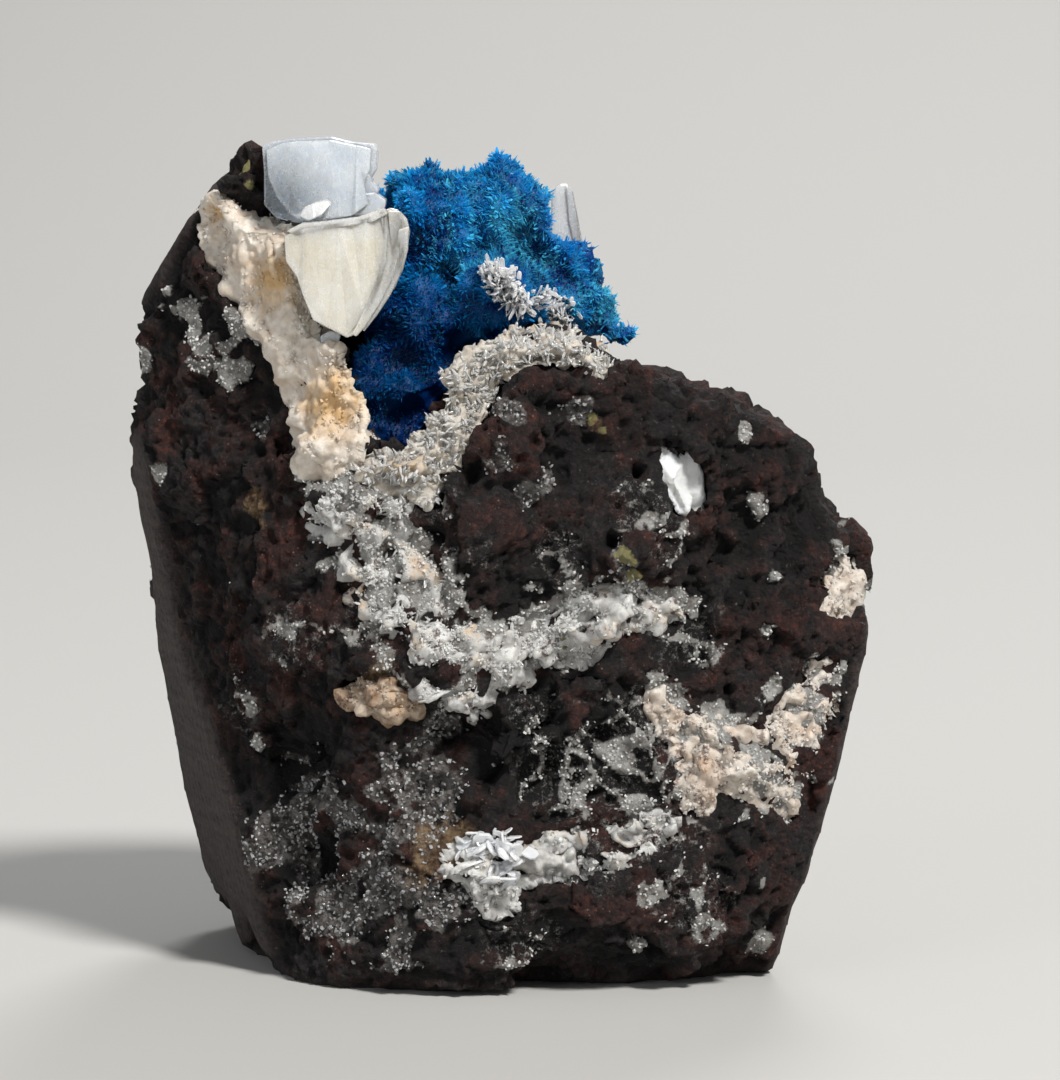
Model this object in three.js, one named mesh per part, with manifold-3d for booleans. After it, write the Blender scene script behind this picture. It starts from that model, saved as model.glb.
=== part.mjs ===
// A cavansite cluster: blue rosettes and white stilbite crystals in the hollow of a trimmed block
// of dark basalt breccia, whose clasts are cemented by pale zeolite veins.
// Units are millimetres. +X is to the right, +Y away from the viewer, +Z up, and the block stands
// on its sawn base at Z = 0.

import * as THREE from "three";
import { ConvexGeometry } from "three/addons/geometries/ConvexGeometry.js";
import { ImprovedNoise } from "three/addons/math/ImprovedNoise.js";
import { mergeVertices } from "three/addons/utils/BufferGeometryUtils.js";
import Module from "manifold-3d";

const wasm = await Module();
wasm.setup();

// Driving dimensions

const GAP = 0.32; // clearance that each mineral keeps to its neighbours
const HEART = new THREE.Vector3(0, 1, 24); // every broken face of the block is seen from here
const FAR_FRONT = -40; // clear of the front of the block
const BLOCK_DETAIL = 9; // subdivisions of each icosahedron edge of the block
const CRUST_DETAIL = 12; // the same for the crusts' outer skins
const UNDERSIDE_DETAIL = 5; // the same for the crusts' hidden undersides
const EDGE_SHARPNESS = 1.3; // per mm: how crisply two broken faces of the block meet
const CLAST_SIZE = 9; // spacing of the breccia's angular clasts
const CLAST_STEP = 1.1; // how far one clast stands proud of the next
const CLAST_TILT = 0.12; // slope of each clast's own broken face
const GRIT_SIZE = 2.6; // wavelength of the coarse grit on the broken faces
const GRIT_HEIGHT = 0.3;

// Broken faces: an outward normal and a point that the face passes through
const BROKEN_FACES = [
  { name: "front", normal: [0.08, -1, 0.04], at: [2, -13.6, 24] },
  { name: "front left", normal: [-0.6, -0.8, -0.02], at: [-10, -12.6, 20] },
  { name: "left, lower", normal: [-0.9, -0.3, -0.2], at: [-22.2, 2, 15] },
  { name: "left, upper", normal: [-0.96, -0.26, 0.05], at: [-25.1, 2, 39] },
  { name: "front right", normal: [0.46, -0.88, 0.06], at: [13, -12.2, 25] },
  { name: "right, lower", normal: [0.95, 0.14, -0.26], at: [23.6, -3, 19] },
  { name: "right, upper", normal: [0.8, 0.05, 0.6], at: [20.2, 0, 32.4] },
  { name: "right, brow", normal: [0.42, 0.06, 0.9], at: [12, 0, 38.6] },
  { name: "top", normal: [0.5, 0.2, 0.84], at: [3, 0, 44] },
  { name: "crown", normal: [0.12, 0.36, 0.92], at: [-13, -4, 53.8] },
  { name: "left, top", normal: [-0.82, 0.06, 0.56], at: [-21.6, 0, 51.2] },
  { name: "back", normal: [0.04, 1, 0.06], at: [0, 15.8, 25] },
  { name: "back left", normal: [-0.6, 0.8, 0.1], at: [-16, 11.8, 25] },
  { name: "back right", normal: [0.66, 0.74, 0], at: [16, 10.4, 24] },
  { name: "foot, left", normal: [-0.64, -0.1, -0.76], at: [-17.8, 0, 1.4] },
  { name: "foot, front", normal: [0.02, -0.55, -0.83], at: [2, -11.8, 0.4] },
  { name: "foot, right", normal: [0.7, -0.1, -0.7], at: [17.6, 0, 1.6] },
  { name: "foot, back", normal: [0, 0.45, -0.89], at: [0, 13, 0.8] },
  { name: "base", normal: [0, 0, -1], at: [0, 0, -1.4] },
];

// Saw cuts, which leave dead flat faces
const SAW_CUTS = [
  { name: "base", normal: [0, 0, -1], at: [0, 0, 0] },
  { name: "left, top", normal: [-0.83, 0.04, 0.555], at: [-20.7, 0, 50] },
  { name: "right, lower", normal: [0.955, 0.12, -0.26], at: [22.5, -3, 19.4] },
  { name: "left, lower", normal: [-0.935, -0.28, -0.2], at: [-21.6, 2, 15.4] },
];

// The dark horn at the top left, between the cream band and the upper stilbite, as a clast's corners
const HORN = [
  [-21, -6, 46], [-21, 3, 46], [-12, -8, 46], [-12, 3, 46], [-18.6, -6.4, 51.6],
  [-17.9, 0, 53.6], [-16.9, -5.4, 54.9], [-14.8, -5, 54.6], [-13.6, -3, 53.4], [-15.4, 0.6, 53.4],
];

// Angular clasts that stand out of the front: centre [x, z], half width, half height, and how proud
const CLASTS = [
  { at: [1.2, 36.6], wide: 3.8, tall: 4.2, proud: 1.2 },
  { at: [-1.6, 28.4], wide: 3.2, tall: 3.6, proud: 1.1 },
  { at: [6.4, 28.8], wide: 4.2, tall: 3.4, proud: 1.3 },
  { at: [12.4, 31], wide: 4.2, tall: 4.4, proud: 0.9 },
  { at: [15.6, 23.4], wide: 4.2, tall: 4.2, proud: 0.9 },
  { at: [2, 17], wide: 4.2, tall: 3, proud: 1.4 },
  { at: [6.4, 5.2], wide: 4.8, tall: 4.4, proud: 1 },
  { at: [14, 7], wide: 3.4, tall: 4.6, proud: 0.8 },
  { at: [-17, 39.4], wide: 2.8, tall: 4, proud: 0.9 },
  { at: [-15, 27.4], wide: 3.2, tall: 4.8, proud: 0.9 },
  { at: [-14.6, 15.6], wide: 3.6, tall: 4.4, proud: 0.8 },
  { at: [-12.4, 5.4], wide: 3.4, tall: 3.4, proud: 0.7 },
];

// Hollows and swells of the front, seen square on: where, how wide, and how deep (a swell is negative)
const HOLLOWS = [
  { name: "recess under the vein", x: -4.4, z: 14.6, reach: 5.5, depth: 3.2 },
  { name: "lower left scoop", x: -10.5, z: 8.5, reach: 6.5, depth: 1.8 },
  { name: "valley of the vein", x: -7, z: 27, reach: 5.5, depth: 1.3 },
  { name: "valley of the vein, right", x: 2, z: 23, reach: 5, depth: 1 },
  { name: "pit beside the druse", x: 2.2, z: 31, reach: 3.5, depth: 1.2 },
  { name: "left scoop", x: -16.5, z: 37, reach: 5, depth: 1.6 },
  { name: "clast above the vein", x: 0, z: 35, reach: 6, depth: -1.8 },
  { name: "clast on the right", x: 9, z: 29, reach: 7, depth: -1.2 },
  { name: "clast below the vein", x: 4.5, z: 17, reach: 5, depth: -1.5 },
  { name: "lower right swell", x: 9, z: 6, reach: 7, depth: -1 },
];

// The mouth of the hollow, broken out of the front wall: its rim as [x, z], left to right
const MOUTH_RIM = [
  [-15.9, 58], [-15.7, 51.7], [-14.2, 49.6], [-13.2, 45], [-11.6, 41.9], [-10.2, 39.2],
  [-9.9, 36.6], [-8, 35.2], [-6.2, 34.8], [-4.3, 36], [-2.7, 38], [-1.6, 40.4],
  [0.6, 42], [3.4, 42.5], [5.8, 41.6], [7.6, 41.8], [9, 58],
];
const MOUTH_BACK = 0; // how far back the broken-out mouth reaches

// Cavansite rosettes: centre, and the radius that the blade tips reach
const ROSETTES = [
  { at: [-5, -4.2, 49.5], reach: 5, detail: 3 },
  { at: [-0.3, -3.4, 50.2], reach: 4.3, detail: 2 },
  { at: [3.3, -2.6, 46], reach: 3.4, detail: 2 },
  { at: [5.4, -3.6, 43.9], reach: 2.6, detail: 2 },
  { at: [-0.4, -6.4, 44.8], reach: 4.1, detail: 2 },
  { at: [-5.4, -5.2, 43.4], reach: 4.6, detail: 2 },
  { at: [-6.4, -6, 38.9], reach: 3.9, detail: 2 },
  { at: [-9, 1.6, 48.4], reach: 4.2, detail: 2 },
  { at: [-2.6, 3, 47.4], reach: 4.6, detail: 2 },
  { at: [7.3, -5.4, 42.2], reach: 1.5, detail: 1 },
];
const SOCKET_DETAIL = 1;
const BLADE_LENGTH = 0.17; // of a rosette's radius: how deep the gaps between its blades are
const BLADE_SHARE = 0.42; // share of a rosette's corners that are blade tips

// Stilbite: each plate is a hull of rings [x, z] at a depth y, front ring first
const STILBITE_PLATES = [
  {
    name: "upper crystal",
    rings: [
      {
        y: -8.6,
        points: [[-15.3, 54], [-11.6, 54.5], [-8.9, 53.9], [-9.2, 50.6], [-12.4, 49.4], [-14.6, 50.4]],
      },
      {
        y: -7.8,
        points: [[-15.9, 54.6], [-12.1, 55], [-8.3, 54.5], [-8.3, 50.1], [-12.4, 48.6], [-15.3, 50.2]],
      },
      {
        y: -3.4,
        points: [[-15.5, 54], [-12, 54.4], [-8.6, 54], [-8.6, 50.4], [-12.6, 49], [-15, 50.6]],
      },
    ],
  },
  {
    name: "upper crystal, side step",
    rings: [
      { y: -8, points: [[-9.6, 52.1], [-8, 51.9], [-7.8, 50.4], [-9.4, 49.8]] },
      { y: -4.6, points: [[-9.6, 52.1], [-8.1, 51.8], [-7.9, 50.4], [-9.4, 49.8]] },
    ],
  },
  {
    name: "lower crystal",
    rings: [
      {
        y: -12.6,
        points: [[-14.1, 48.9], [-8.6, 49.5], [-8.8, 46.4], [-10.2, 42.4], [-11.6, 43], [-13, 45.4]],
      },
      {
        y: -11.2,
        points: [
          [-14.7, 48.9], [-12.2, 50], [-7.8, 50.2], [-7.9, 46], [-9.9, 41.9], [-11.9, 42.6], [-13.6, 45.6],
        ],
      },
      {
        y: -8.2,
        points: [[-14.2, 48.6], [-12, 49.8], [-7.9, 49.9], [-8, 46], [-10, 42.4], [-12.6, 45.6]],
      },
    ],
  },
  {
    name: "lower crystal, edge plates",
    rings: [
      {
        y: -11.4,
        points: [[-8.4, 50], [-7, 49.9], [-6.7, 47], [-8, 44], [-9.9, 42.2], [-8.8, 46.4]],
      },
      {
        y: -10.4,
        points: [[-8.6, 50.4], [-6.8, 50.4], [-6.2, 48.8], [-6.6, 46.6], [-7.2, 44.9], [-9.7, 41.9]],
      },
      {
        y: -9,
        points: [[-8.6, 50.2], [-7, 50.1], [-6.4, 48.6], [-7.2, 45], [-9.6, 42.4]],
      },
    ],
  },
  {
    name: "small tip",
    rings: [
      { y: -11.9, points: [[-12.6, 50.1], [-11.9, 50.9], [-11.2, 51.1], [-11.6, 50.2], [-12.3, 49.6]] },
      { y: -9.4, points: [[-12.8, 50], [-12, 51.2], [-11, 51.2], [-11.4, 49.8], [-12.4, 49.4]] },
    ],
  },
];

// The stilbite blade that stands behind the rosettes on the right
const BACK_BLADE = {
  rings: [
    { y: -2.6, points: [[3.1, 52.6], [4.3, 52.8], [5.6, 46.6], [4.4, 44.8], [2.8, 47]] },
    { y: -1, points: [[3.2, 52.3], [4.4, 52.5], [5.8, 46.3], [4.5, 44.4], [3, 47]] },
  ],
};

// Crusts and veins on the front of the block, seen square on. Each stroke is a line of spots
// [x, z, half width]. A crust stands proud of the rock, and reaches as deep into it.
const CREAM_BAND = {
  strokes: [
    [[-19.4, 50.2, 0.9], [-17.6, 49.4, 2.2], [-16, 47.6, 2.5], [-14.9, 45.4, 2.2], [-13.6, 42.8, 2],
      [-12.4, 40.2, 2], [-11.5, 37.6, 2.4], [-11.8, 35.6, 2.1]],
    [[-12, 35.8, 1.6], [-13.8, 35.2, 1]],
  ],
  proud: 1.1, depth: 1.6, facets: 0.5,
};
const RIM_DRUSE = {
  strokes: [
    [[-8.6, 34.3, 1], [-6.8, 34, 1.3], [-4.6, 35.2, 1.4], [-3.2, 37.2, 1.4], [-2.4, 39.4, 1.4],
      [-0.6, 41.2, 1.3], [1.6, 42, 1.2], [4, 42, 1.1], [6.2, 41, 0.8]],
    [[-5.8, 34, 1.2], [-4.9, 32.8, 0.8]],
  ],
  proud: 0.8, depth: 1.3, facets: 0.6,
};
const FRONT_VEIN = {
  strokes: [
    [[-7.4, 33.6, 1.4], [-8.8, 31.6, 2.6], [-8.8, 29, 2], [-7.2, 26.6, 2.8], [-5.4, 24.2, 1.8],
      [-4, 22.2, 2.7], [-2.8, 20, 1.8], [-2.2, 18.6, 1.1]],
    [[-9.4, 32.4, 1.9], [-11.6, 31.6, 1.4], [-12.8, 30.8, 0.8]],
    [[-4, 22.4, 2.2], [-0.6, 22.2, 2.4], [2.6, 23, 1.6], [5.6, 24.4, 2.2], [8.6, 25, 1.2],
      [11.2, 24.8, 0.8]],
  ],
  proud: 0.6, depth: 1.3, facets: 0.6,
};
const RIGHT_VEIN = {
  strokes: [
    [[10, 19.2, 0.9], [12, 17.6, 1.8], [14, 15.6, 2], [17, 14.4, 2.2], [19, 12.6, 1.3], [19.2, 11.4, 0.8]],
    [[17.2, 14.6, 2], [19.2, 17, 1.8], [20.4, 19, 1.4], [21, 20.8, 0.8]],
    [[12.8, 16, 1.6], [12.6, 12.6, 0.9]],
  ],
  proud: 0.7, depth: 1.2, facets: 0.6,
};
const LOWER_VEIN = {
  strokes: [
    [[-2.8, 8.6, 1.2], [-0.6, 8, 1.7], [1.6, 9, 1.1], [4.4, 9.2, 1.4], [7.4, 10, 1.4], [10.4, 11, 0.9]],
    [[-0.8, 8, 1.5], [-0.4, 6.4, 0.9]],
  ],
  proud: 0.8, depth: 1, facets: 0.6,
};
const BROWN_LUMP = {
  strokes: [[[-9.4, 19.4, 1.2], [-7.4, 19.6, 1.4], [-6.4, 18.9, 0.9]]],
  proud: 1.2, depth: 1, facets: 0.4,
};
const WHITE_AMYGDULE = {
  strokes: [[[10.8, 35, 0.9], [11.3, 33.6, 1.2], [11.9, 31.9, 0.9]]],
  proud: 1.2, depth: 1.4, facets: 0.2,
};
const EDGE_AMYGDULE = {
  strokes: [[[22.8, 27, 0.9], [22.6, 25.4, 1.4], [21.6, 24.6, 0.9]]],
  proud: 0.5, depth: 1, facets: 0.2,
};

// Materials

const finish = (color, roughness) => new THREE.MeshStandardMaterial({ color, roughness, metalness: 0 });
const BASALT = finish(0x2a2120, 0.85);
const CAVANSITE = finish(0x0a5fb4, 0.5);
const STILBITE = finish(0xe6e0d2, 0.35);
const CREAM_CRUST = finish(0xd9c7a0, 0.5);
const DRUSE = finish(0xcfcfc8, 0.25);
const VEIN_ZEOLITE = finish(0xc9c7bf, 0.45);
const BROWN_CRUST = finish(0x9a7b62, 0.6);
const MILK_WHITE = finish(0xe9eef0, 0.4);

// Random numbers that come out the same on every run

function hash(...numbers) {
  const mixed = numbers.reduce((sum, n, i) => sum + n * (12.9898 + 65.312 * i), 4.137);
  const wave = Math.sin(mixed) * 43758.5453;
  return wave - Math.floor(wave);
}

// From three.js geometry to a manifold-3d solid and back

function solidOf(geometry) {
  const bare = geometry.clone();
  Object.keys(bare.attributes)
    .filter((name) => name !== "position")
    .forEach((name) => bare.deleteAttribute(name));
  const merged = mergeVertices(bare, 1e-4);
  return new wasm.Manifold(
    new wasm.Mesh({
      numProp: 3,
      vertProperties: merged.attributes.position.array,
      triVerts: new Uint32Array(merged.index.array),
    }),
  );
}

function meshOf(name, solid, material) {
  const { numProp, vertProperties, triVerts } = solid.getMesh();
  const geometry = new THREE.BufferGeometry()
    .setAttribute("position", new THREE.BufferAttribute(vertProperties, numProp))
    .setIndex(new THREE.BufferAttribute(triVerts, 1));
  const mesh = new THREE.Mesh(geometry, material);
  mesh.name = name;
  return mesh;
}

const hull = (points) => solidOf(new ConvexGeometry(points));
const joined = (solids) => solids.reduce((whole, next) => whole.add(next));
const carved = (solid, ...cutters) => cutters.reduce((rest, cutter) => rest.subtract(cutter), solid);

// A cut can leave slivers that nothing holds, so only the largest body is kept.
function largest(solid) {
  return solid.decompose().reduce((best, next) => (next.volume() > best.volume() ? next : best));
}

// The block

const noise = new ImprovedNoise();

const facing = ({ normal, at }) => {
  const outward = new THREE.Vector3(...normal).normalize();
  return { outward, reach: outward.dot(new THREE.Vector3(...at).sub(HEART)) };
};
const BROKEN = BROKEN_FACES.map(facing);

// Distance from the heart to the nearest broken face along a direction, rounded where faces meet
function plainRadius(direction) {
  const GRAZING = 0.05; // a face seen flatter than this is too far off to count
  const crowding = BROKEN.reduce((sum, { outward, reach }) => {
    const slant = outward.dot(direction);
    return slant > GRAZING ? sum + Math.exp((-EDGE_SHARPNESS * reach) / slant) : sum;
  }, 0);
  return -Math.log(crowding) / EDGE_SHARPNESS;
}

// Height of the breccia's angular clasts at a point: each clast has its own step and slope
function clastHeight(point) {
  const cell = point.clone().divideScalar(CLAST_SIZE).floor();
  const near = { distance: Infinity, height: 0 };
  for (let i = -1; i <= 1; i++)
    for (let j = -1; j <= 1; j++)
      for (let k = -1; k <= 1; k++) {
        const [a, b, c] = [cell.x + i, cell.y + j, cell.z + k];
        const centre = new THREE.Vector3(
          a + hash(a, b, c, 1),
          b + hash(a, b, c, 2),
          c + hash(a, b, c, 3),
        ).multiplyScalar(CLAST_SIZE);
        const offset = point.clone().sub(centre);
        const distance = offset.length();
        if (distance > near.distance) continue;
        const slope = new THREE.Vector3(
          hash(a, b, c, 4) - 0.5,
          hash(a, b, c, 5) - 0.5,
          hash(a, b, c, 6) - 0.5,
        );
        near.distance = distance;
        near.height = CLAST_STEP * (hash(a, b, c, 7) - 0.5) * 2 + CLAST_TILT * 2 * slope.dot(offset);
      }
  return near.height;
}

function gritHeight(point) {
  const p = point.clone().divideScalar(GRIT_SIZE);
  return GRIT_HEIGHT * (noise.noise(p.x, p.y, p.z) + 0.5 * noise.noise(2 * p.x, 2 * p.y, 2 * p.z));
}

// How far the front is hollowed in at a point: nothing on the back half
function hollowDepth(point) {
  if (point.y > HEART.y) return 0;
  return HOLLOWS.reduce((sum, { x, z, reach, depth }) => {
    const share = Math.hypot(point.x - x, point.z - z) / reach;
    return share < 1 ? sum + depth * (1 - share * share) ** 2 : sum;
  }, 0);
}

const onRay = (direction, radius) => direction.clone().multiplyScalar(radius).add(HEART);

function blockRadius(direction) {
  const plain = plainRadius(direction);
  const point = onRay(direction, plain);
  return plain + clastHeight(point) + gritHeight(point) - hollowDepth(point);
}

// A closed skin around the heart, whose radius in every direction is given by a function
function skin(detail, radiusAt) {
  const geometry = new THREE.IcosahedronGeometry(1, detail);
  const positions = geometry.attributes.position;
  const corner = new THREE.Vector3();
  const shared = (value) => Math.round(value * 1e5) / 1e5;
  for (let i = 0; i < positions.count; i++) {
    corner.fromBufferAttribute(positions, i).normalize();
    const direction = new THREE.Vector3(...corner.toArray().map(shared)).normalize();
    positions.setXYZ(i, ...onRay(direction, radiusAt(direction)).toArray());
  }
  return solidOf(geometry);
}

// Where a line along +Y at [x, z] meets the front of the block
function frontAt(x, z) {
  const STEP = 0.1;
  const point = new THREE.Vector3(x, FAR_FRONT, z);
  const outside = () => {
    const offset = point.clone().sub(HEART);
    return offset.length() > blockRadius(offset.normalize());
  };
  while (point.y < HEART.y && outside()) point.y += STEP;
  return point.y;
}

function clast({ at: [x, z], wide, tall, proud }, index) {
  const CORNERS = 13;
  const GOLDEN_ANGLE = Math.PI * (3 - Math.sqrt(5));
  const DEPTH_SHARE = 0.8; // of the smaller half size
  const SMALLEST = 0.85; // share of its reach that a corner keeps at least
  const SPREAD = 0.3;
  const deep = DEPTH_SHARE * Math.min(wide, tall);
  const centre = new THREE.Vector3(x, frontAt(x, z) + deep - proud, z);
  return hull(
    Array.from({ length: CORNERS }, (_, i) => {
      const height = 1 - (2 * (i + 0.5)) / CORNERS;
      const turn = i * GOLDEN_ANGLE + index;
      const round = Math.sqrt(1 - height * height);
      const size = SMALLEST + SPREAD * hash(index, i);
      return new THREE.Vector3(
        wide * size * round * Math.cos(turn),
        deep * size * round * Math.sin(turn),
        tall * size * height,
      ).add(centre);
    }),
  );
}

// A saw takes off everything on the far side of its cut.
function sawOff(solid, { normal, at }) {
  const WASTE = 200;
  const outward = new THREE.Vector3(...normal).normalize();
  const waste = new THREE.BoxGeometry(WASTE, WASTE, WASTE)
    .translate(0, 0, WASTE / 2)
    .applyQuaternion(new THREE.Quaternion().setFromUnitVectors(new THREE.Vector3(0, 0, 1), outward))
    .translate(...at);
  return solid.subtract(solidOf(waste));
}

// The part of the front wall that is broken out above the rim
function mouth() {
  const rim = new THREE.Shape(MOUTH_RIM.map(([x, z]) => new THREE.Vector2(x, z)));
  const opening = new THREE.ExtrudeGeometry(rim, { depth: MOUTH_BACK - FAR_FRONT, bevelEnabled: false });
  return solidOf(opening.rotateX(Math.PI / 2).translate(0, MOUTH_BACK, 0));
}

// Crusts

// How far inside its strokes a crust is at [x, z]: nothing on the outline, less than that outside
function cover({ strokes }, x, z) {
  const spot = new THREE.Vector3(x, 0, z);
  const near = new THREE.Vector3();
  let best = -Infinity;
  for (const stroke of strokes)
    for (let i = 1; i < stroke.length; i++) {
      const [fromX, fromZ, fromWidth] = stroke[i - 1];
      const [toX, toZ, toWidth] = stroke[i];
      const line = new THREE.Line3(new THREE.Vector3(fromX, 0, fromZ), new THREE.Vector3(toX, 0, toZ));
      const share = line.closestPointToPointParameter(spot, true);
      const width = THREE.MathUtils.lerp(fromWidth, toWidth, share);
      best = Math.max(best, width - line.at(share, near).distanceTo(spot));
    }
  return best;
}

// The strokes pushed back through the rock, with their half widths grown by a margin
function strokePrism({ strokes }, margin) {
  const SIDES = 6;
  const BACK = -2;
  const rounds = ([x, z, width]) =>
    Array.from({ length: SIDES }, (_, i) => (2 * Math.PI * (i + 0.5)) / SIDES).flatMap((turn) => {
      const reach = (width + margin) / Math.cos(Math.PI / SIDES);
      const [px, pz] = [x + reach * Math.cos(turn), z + reach * Math.sin(turn)];
      return [new THREE.Vector3(px, FAR_FRONT, pz), new THREE.Vector3(px, BACK, pz)];
    });
  const parts = strokes.flatMap((stroke) =>
    stroke.slice(1).map((spot, i) => hull([...rounds(stroke[i]), ...rounds(spot)])),
  );
  return joined(parts);
}

// A crust and the socket that it sits in
function crust(shape) {
  const { proud, depth, facets } = shape;
  const TAPER = 1.2; // how far in from the outline a crust reaches its full height
  const EDGE_DIP = 0.35; // how far under the rock's surface a crust's outline lies
  const UNDER_CLEARANCE = 2 * GAP; // measured along the slanting rays from the heart
  const SUNK_SHARE = 0.3; // of the facets' height lies under the crust's even surface
  const outer = skin(CRUST_DETAIL, (direction) => {
    const radius = blockRadius(direction);
    const point = onRay(direction, radius);
    const rise = THREE.MathUtils.clamp(cover(shape, point.x, point.z) / TAPER, -1, 1);
    const chance = hash(...direction.toArray().map((value) => Math.round(value * 1e3)));
    const height = rise > 0 ? rise * (proud + facets * (chance - SUNK_SHARE)) : rise;
    return radius + height - EDGE_DIP * (1 - rise);
  });
  const under = (drop) => skin(UNDERSIDE_DETAIL, (direction) => blockRadius(direction) - depth - drop);
  return {
    body: outer.intersect(strokePrism(shape, 0)).subtract(under(0)),
    socket: strokePrism(shape, GAP).subtract(under(UNDER_CLEARANCE)),
  };
}

// Stilbite plates, and the same plates grown by GAP

function grown(points) {
  const REACH = GAP * 1.4; // steps along the axes clear a slanting face by less than their length
  const steps = [[1, 0, 0], [0, 1, 0], [0, 0, 1]].flatMap(([x, y, z]) => [
    new THREE.Vector3(x, y, z).multiplyScalar(REACH),
    new THREE.Vector3(x, y, z).multiplyScalar(-REACH),
  ]);
  return points.flatMap((point) => steps.map((step) => point.clone().add(step)));
}

function plates(list) {
  const all = list.map(({ rings }) =>
    rings.flatMap(({ y, points }) => points.map(([x, z]) => new THREE.Vector3(x, y, z))),
  );
  return { body: joined(all.map(hull)), socket: joined(all.map((points) => hull(grown(points)))) };
}

// A rosette is a ball of blades: some corners are tips, and the rest are the gaps between them.
function rosette({ at, reach, detail }, index) {
  const TIP_SPREAD = 0.3; // shares of BLADE_LENGTH: how uneven the tips are,
  const SHALLOWEST = 0.7; // and how deep the shallowest gap is
  const geometry = new THREE.IcosahedronGeometry(1, detail);
  const positions = geometry.attributes.position;
  const corner = new THREE.Vector3();
  for (let i = 0; i < positions.count; i++) {
    corner.fromBufferAttribute(positions, i).normalize();
    const key = corner.toArray().map((v) => Math.round(v * 1e3));
    const chance = hash(index, ...key);
    const isTip = chance < BLADE_SHARE;
    const shortfall = isTip ? TIP_SPREAD * chance : SHALLOWEST + (1 - SHALLOWEST) * chance;
    corner.multiplyScalar(reach * (1 - BLADE_LENGTH * shortfall)).add(new THREE.Vector3(...at));
    positions.setXYZ(i, corner.x, corner.y, corner.z);
  }
  return solidOf(geometry);
}

function rosetteSocket({ at, reach }) {
  const FACE_SINK = 0.93; // how near its centre a face of the socket's icosphere comes
  return solidOf(new THREE.IcosahedronGeometry((reach + GAP) / FACE_SINK, SOCKET_DETAIL).translate(...at));
}

// The minerals, from the last grown to the first: each is carved to make room for those on it

const stilbite = plates(STILBITE_PLATES);
const backBlade = plates([BACK_BLADE]);
const rosettes = joined(ROSETTES.map(rosette));
const rosetteSockets = joined(ROSETTES.map(rosetteSocket));
const creamBand = crust(CREAM_BAND);
const rimDruse = crust(RIM_DRUSE);
const frontVein = crust(FRONT_VEIN);
const rightVein = crust(RIGHT_VEIN);
const lowerVein = crust(LOWER_VEIN);
const brownLump = crust(BROWN_LUMP);
const whiteAmygdule = crust(WHITE_AMYGDULE);
const edgeAmygdule = crust(EDGE_AMYGDULE);

const crystals = [stilbite.socket, backBlade.socket, rosetteSockets];
const rimCrusts = [creamBand.socket, rimDruse.socket];
const horn = hull(HORN.map((corner) => new THREE.Vector3(...corner)));
const rough = joined([skin(BLOCK_DETAIL, blockRadius), horn, ...CLASTS.map(clast)]);
const block = SAW_CUTS.reduce(sawOff, rough).subtract(mouth());

const pieces = [
  ["cavansite_rosettes", carved(rosettes, stilbite.socket, backBlade.socket), CAVANSITE],
  ["stilbite_crystals", stilbite.body, STILBITE],
  ["stilbite_back_blade", backBlade.body, STILBITE],
  ["cream_band", carved(creamBand.body, ...crystals), CREAM_CRUST],
  ["rim_druse", carved(rimDruse.body, creamBand.socket, ...crystals), DRUSE],
  ["front_vein", carved(frontVein.body, ...rimCrusts, ...crystals), VEIN_ZEOLITE],
  ["right_vein", rightVein.body, VEIN_ZEOLITE],
  ["lower_vein", lowerVein.body, VEIN_ZEOLITE],
  ["brown_lump", carved(brownLump.body, frontVein.socket), BROWN_CRUST],
  ["white_amygdule", whiteAmygdule.body, MILK_WHITE],
  ["edge_amygdule", edgeAmygdule.body, MILK_WHITE],
  [
    "basalt_matrix",
    carved(
      block,
      ...crystals,
      ...rimCrusts,
      frontVein.socket,
      rightVein.socket,
      lowerVein.socket,
      brownLump.socket,
      whiteAmygdule.socket,
      edgeAmygdule.socket,
    ),
    BASALT,
  ],
];

const cluster = new THREE.Group();
pieces.forEach(([name, solid, material]) => cluster.add(meshOf(name, largest(solid), material)));

// The origin is under the middle of the whole piece, on the surface that it stands on.
const box = new THREE.Box3().setFromObject(cluster);
const middle = box.getCenter(new THREE.Vector3());
cluster.children.forEach((mesh) => mesh.position.set(-middle.x, -middle.y, -box.min.z));

export default cluster;
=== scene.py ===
# %% [markdown]
# # A cavansite cluster on its block of basalt
#
# The object is a hand specimen: a trimmed block of dark basalt breccia whose broken pieces are
# cemented by pale zeolite veins. A hollow at the top holds a mass of blue cavansite and two big
# white stilbite crystals. This lesson dresses the plain solids of the block, one mineral at a time.

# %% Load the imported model
import math

import bmesh
import bpy
import numpy as np
from mathutils import Euler, Matrix, Vector, noise
from mathutils.bvhtree import BVHTree


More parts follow.
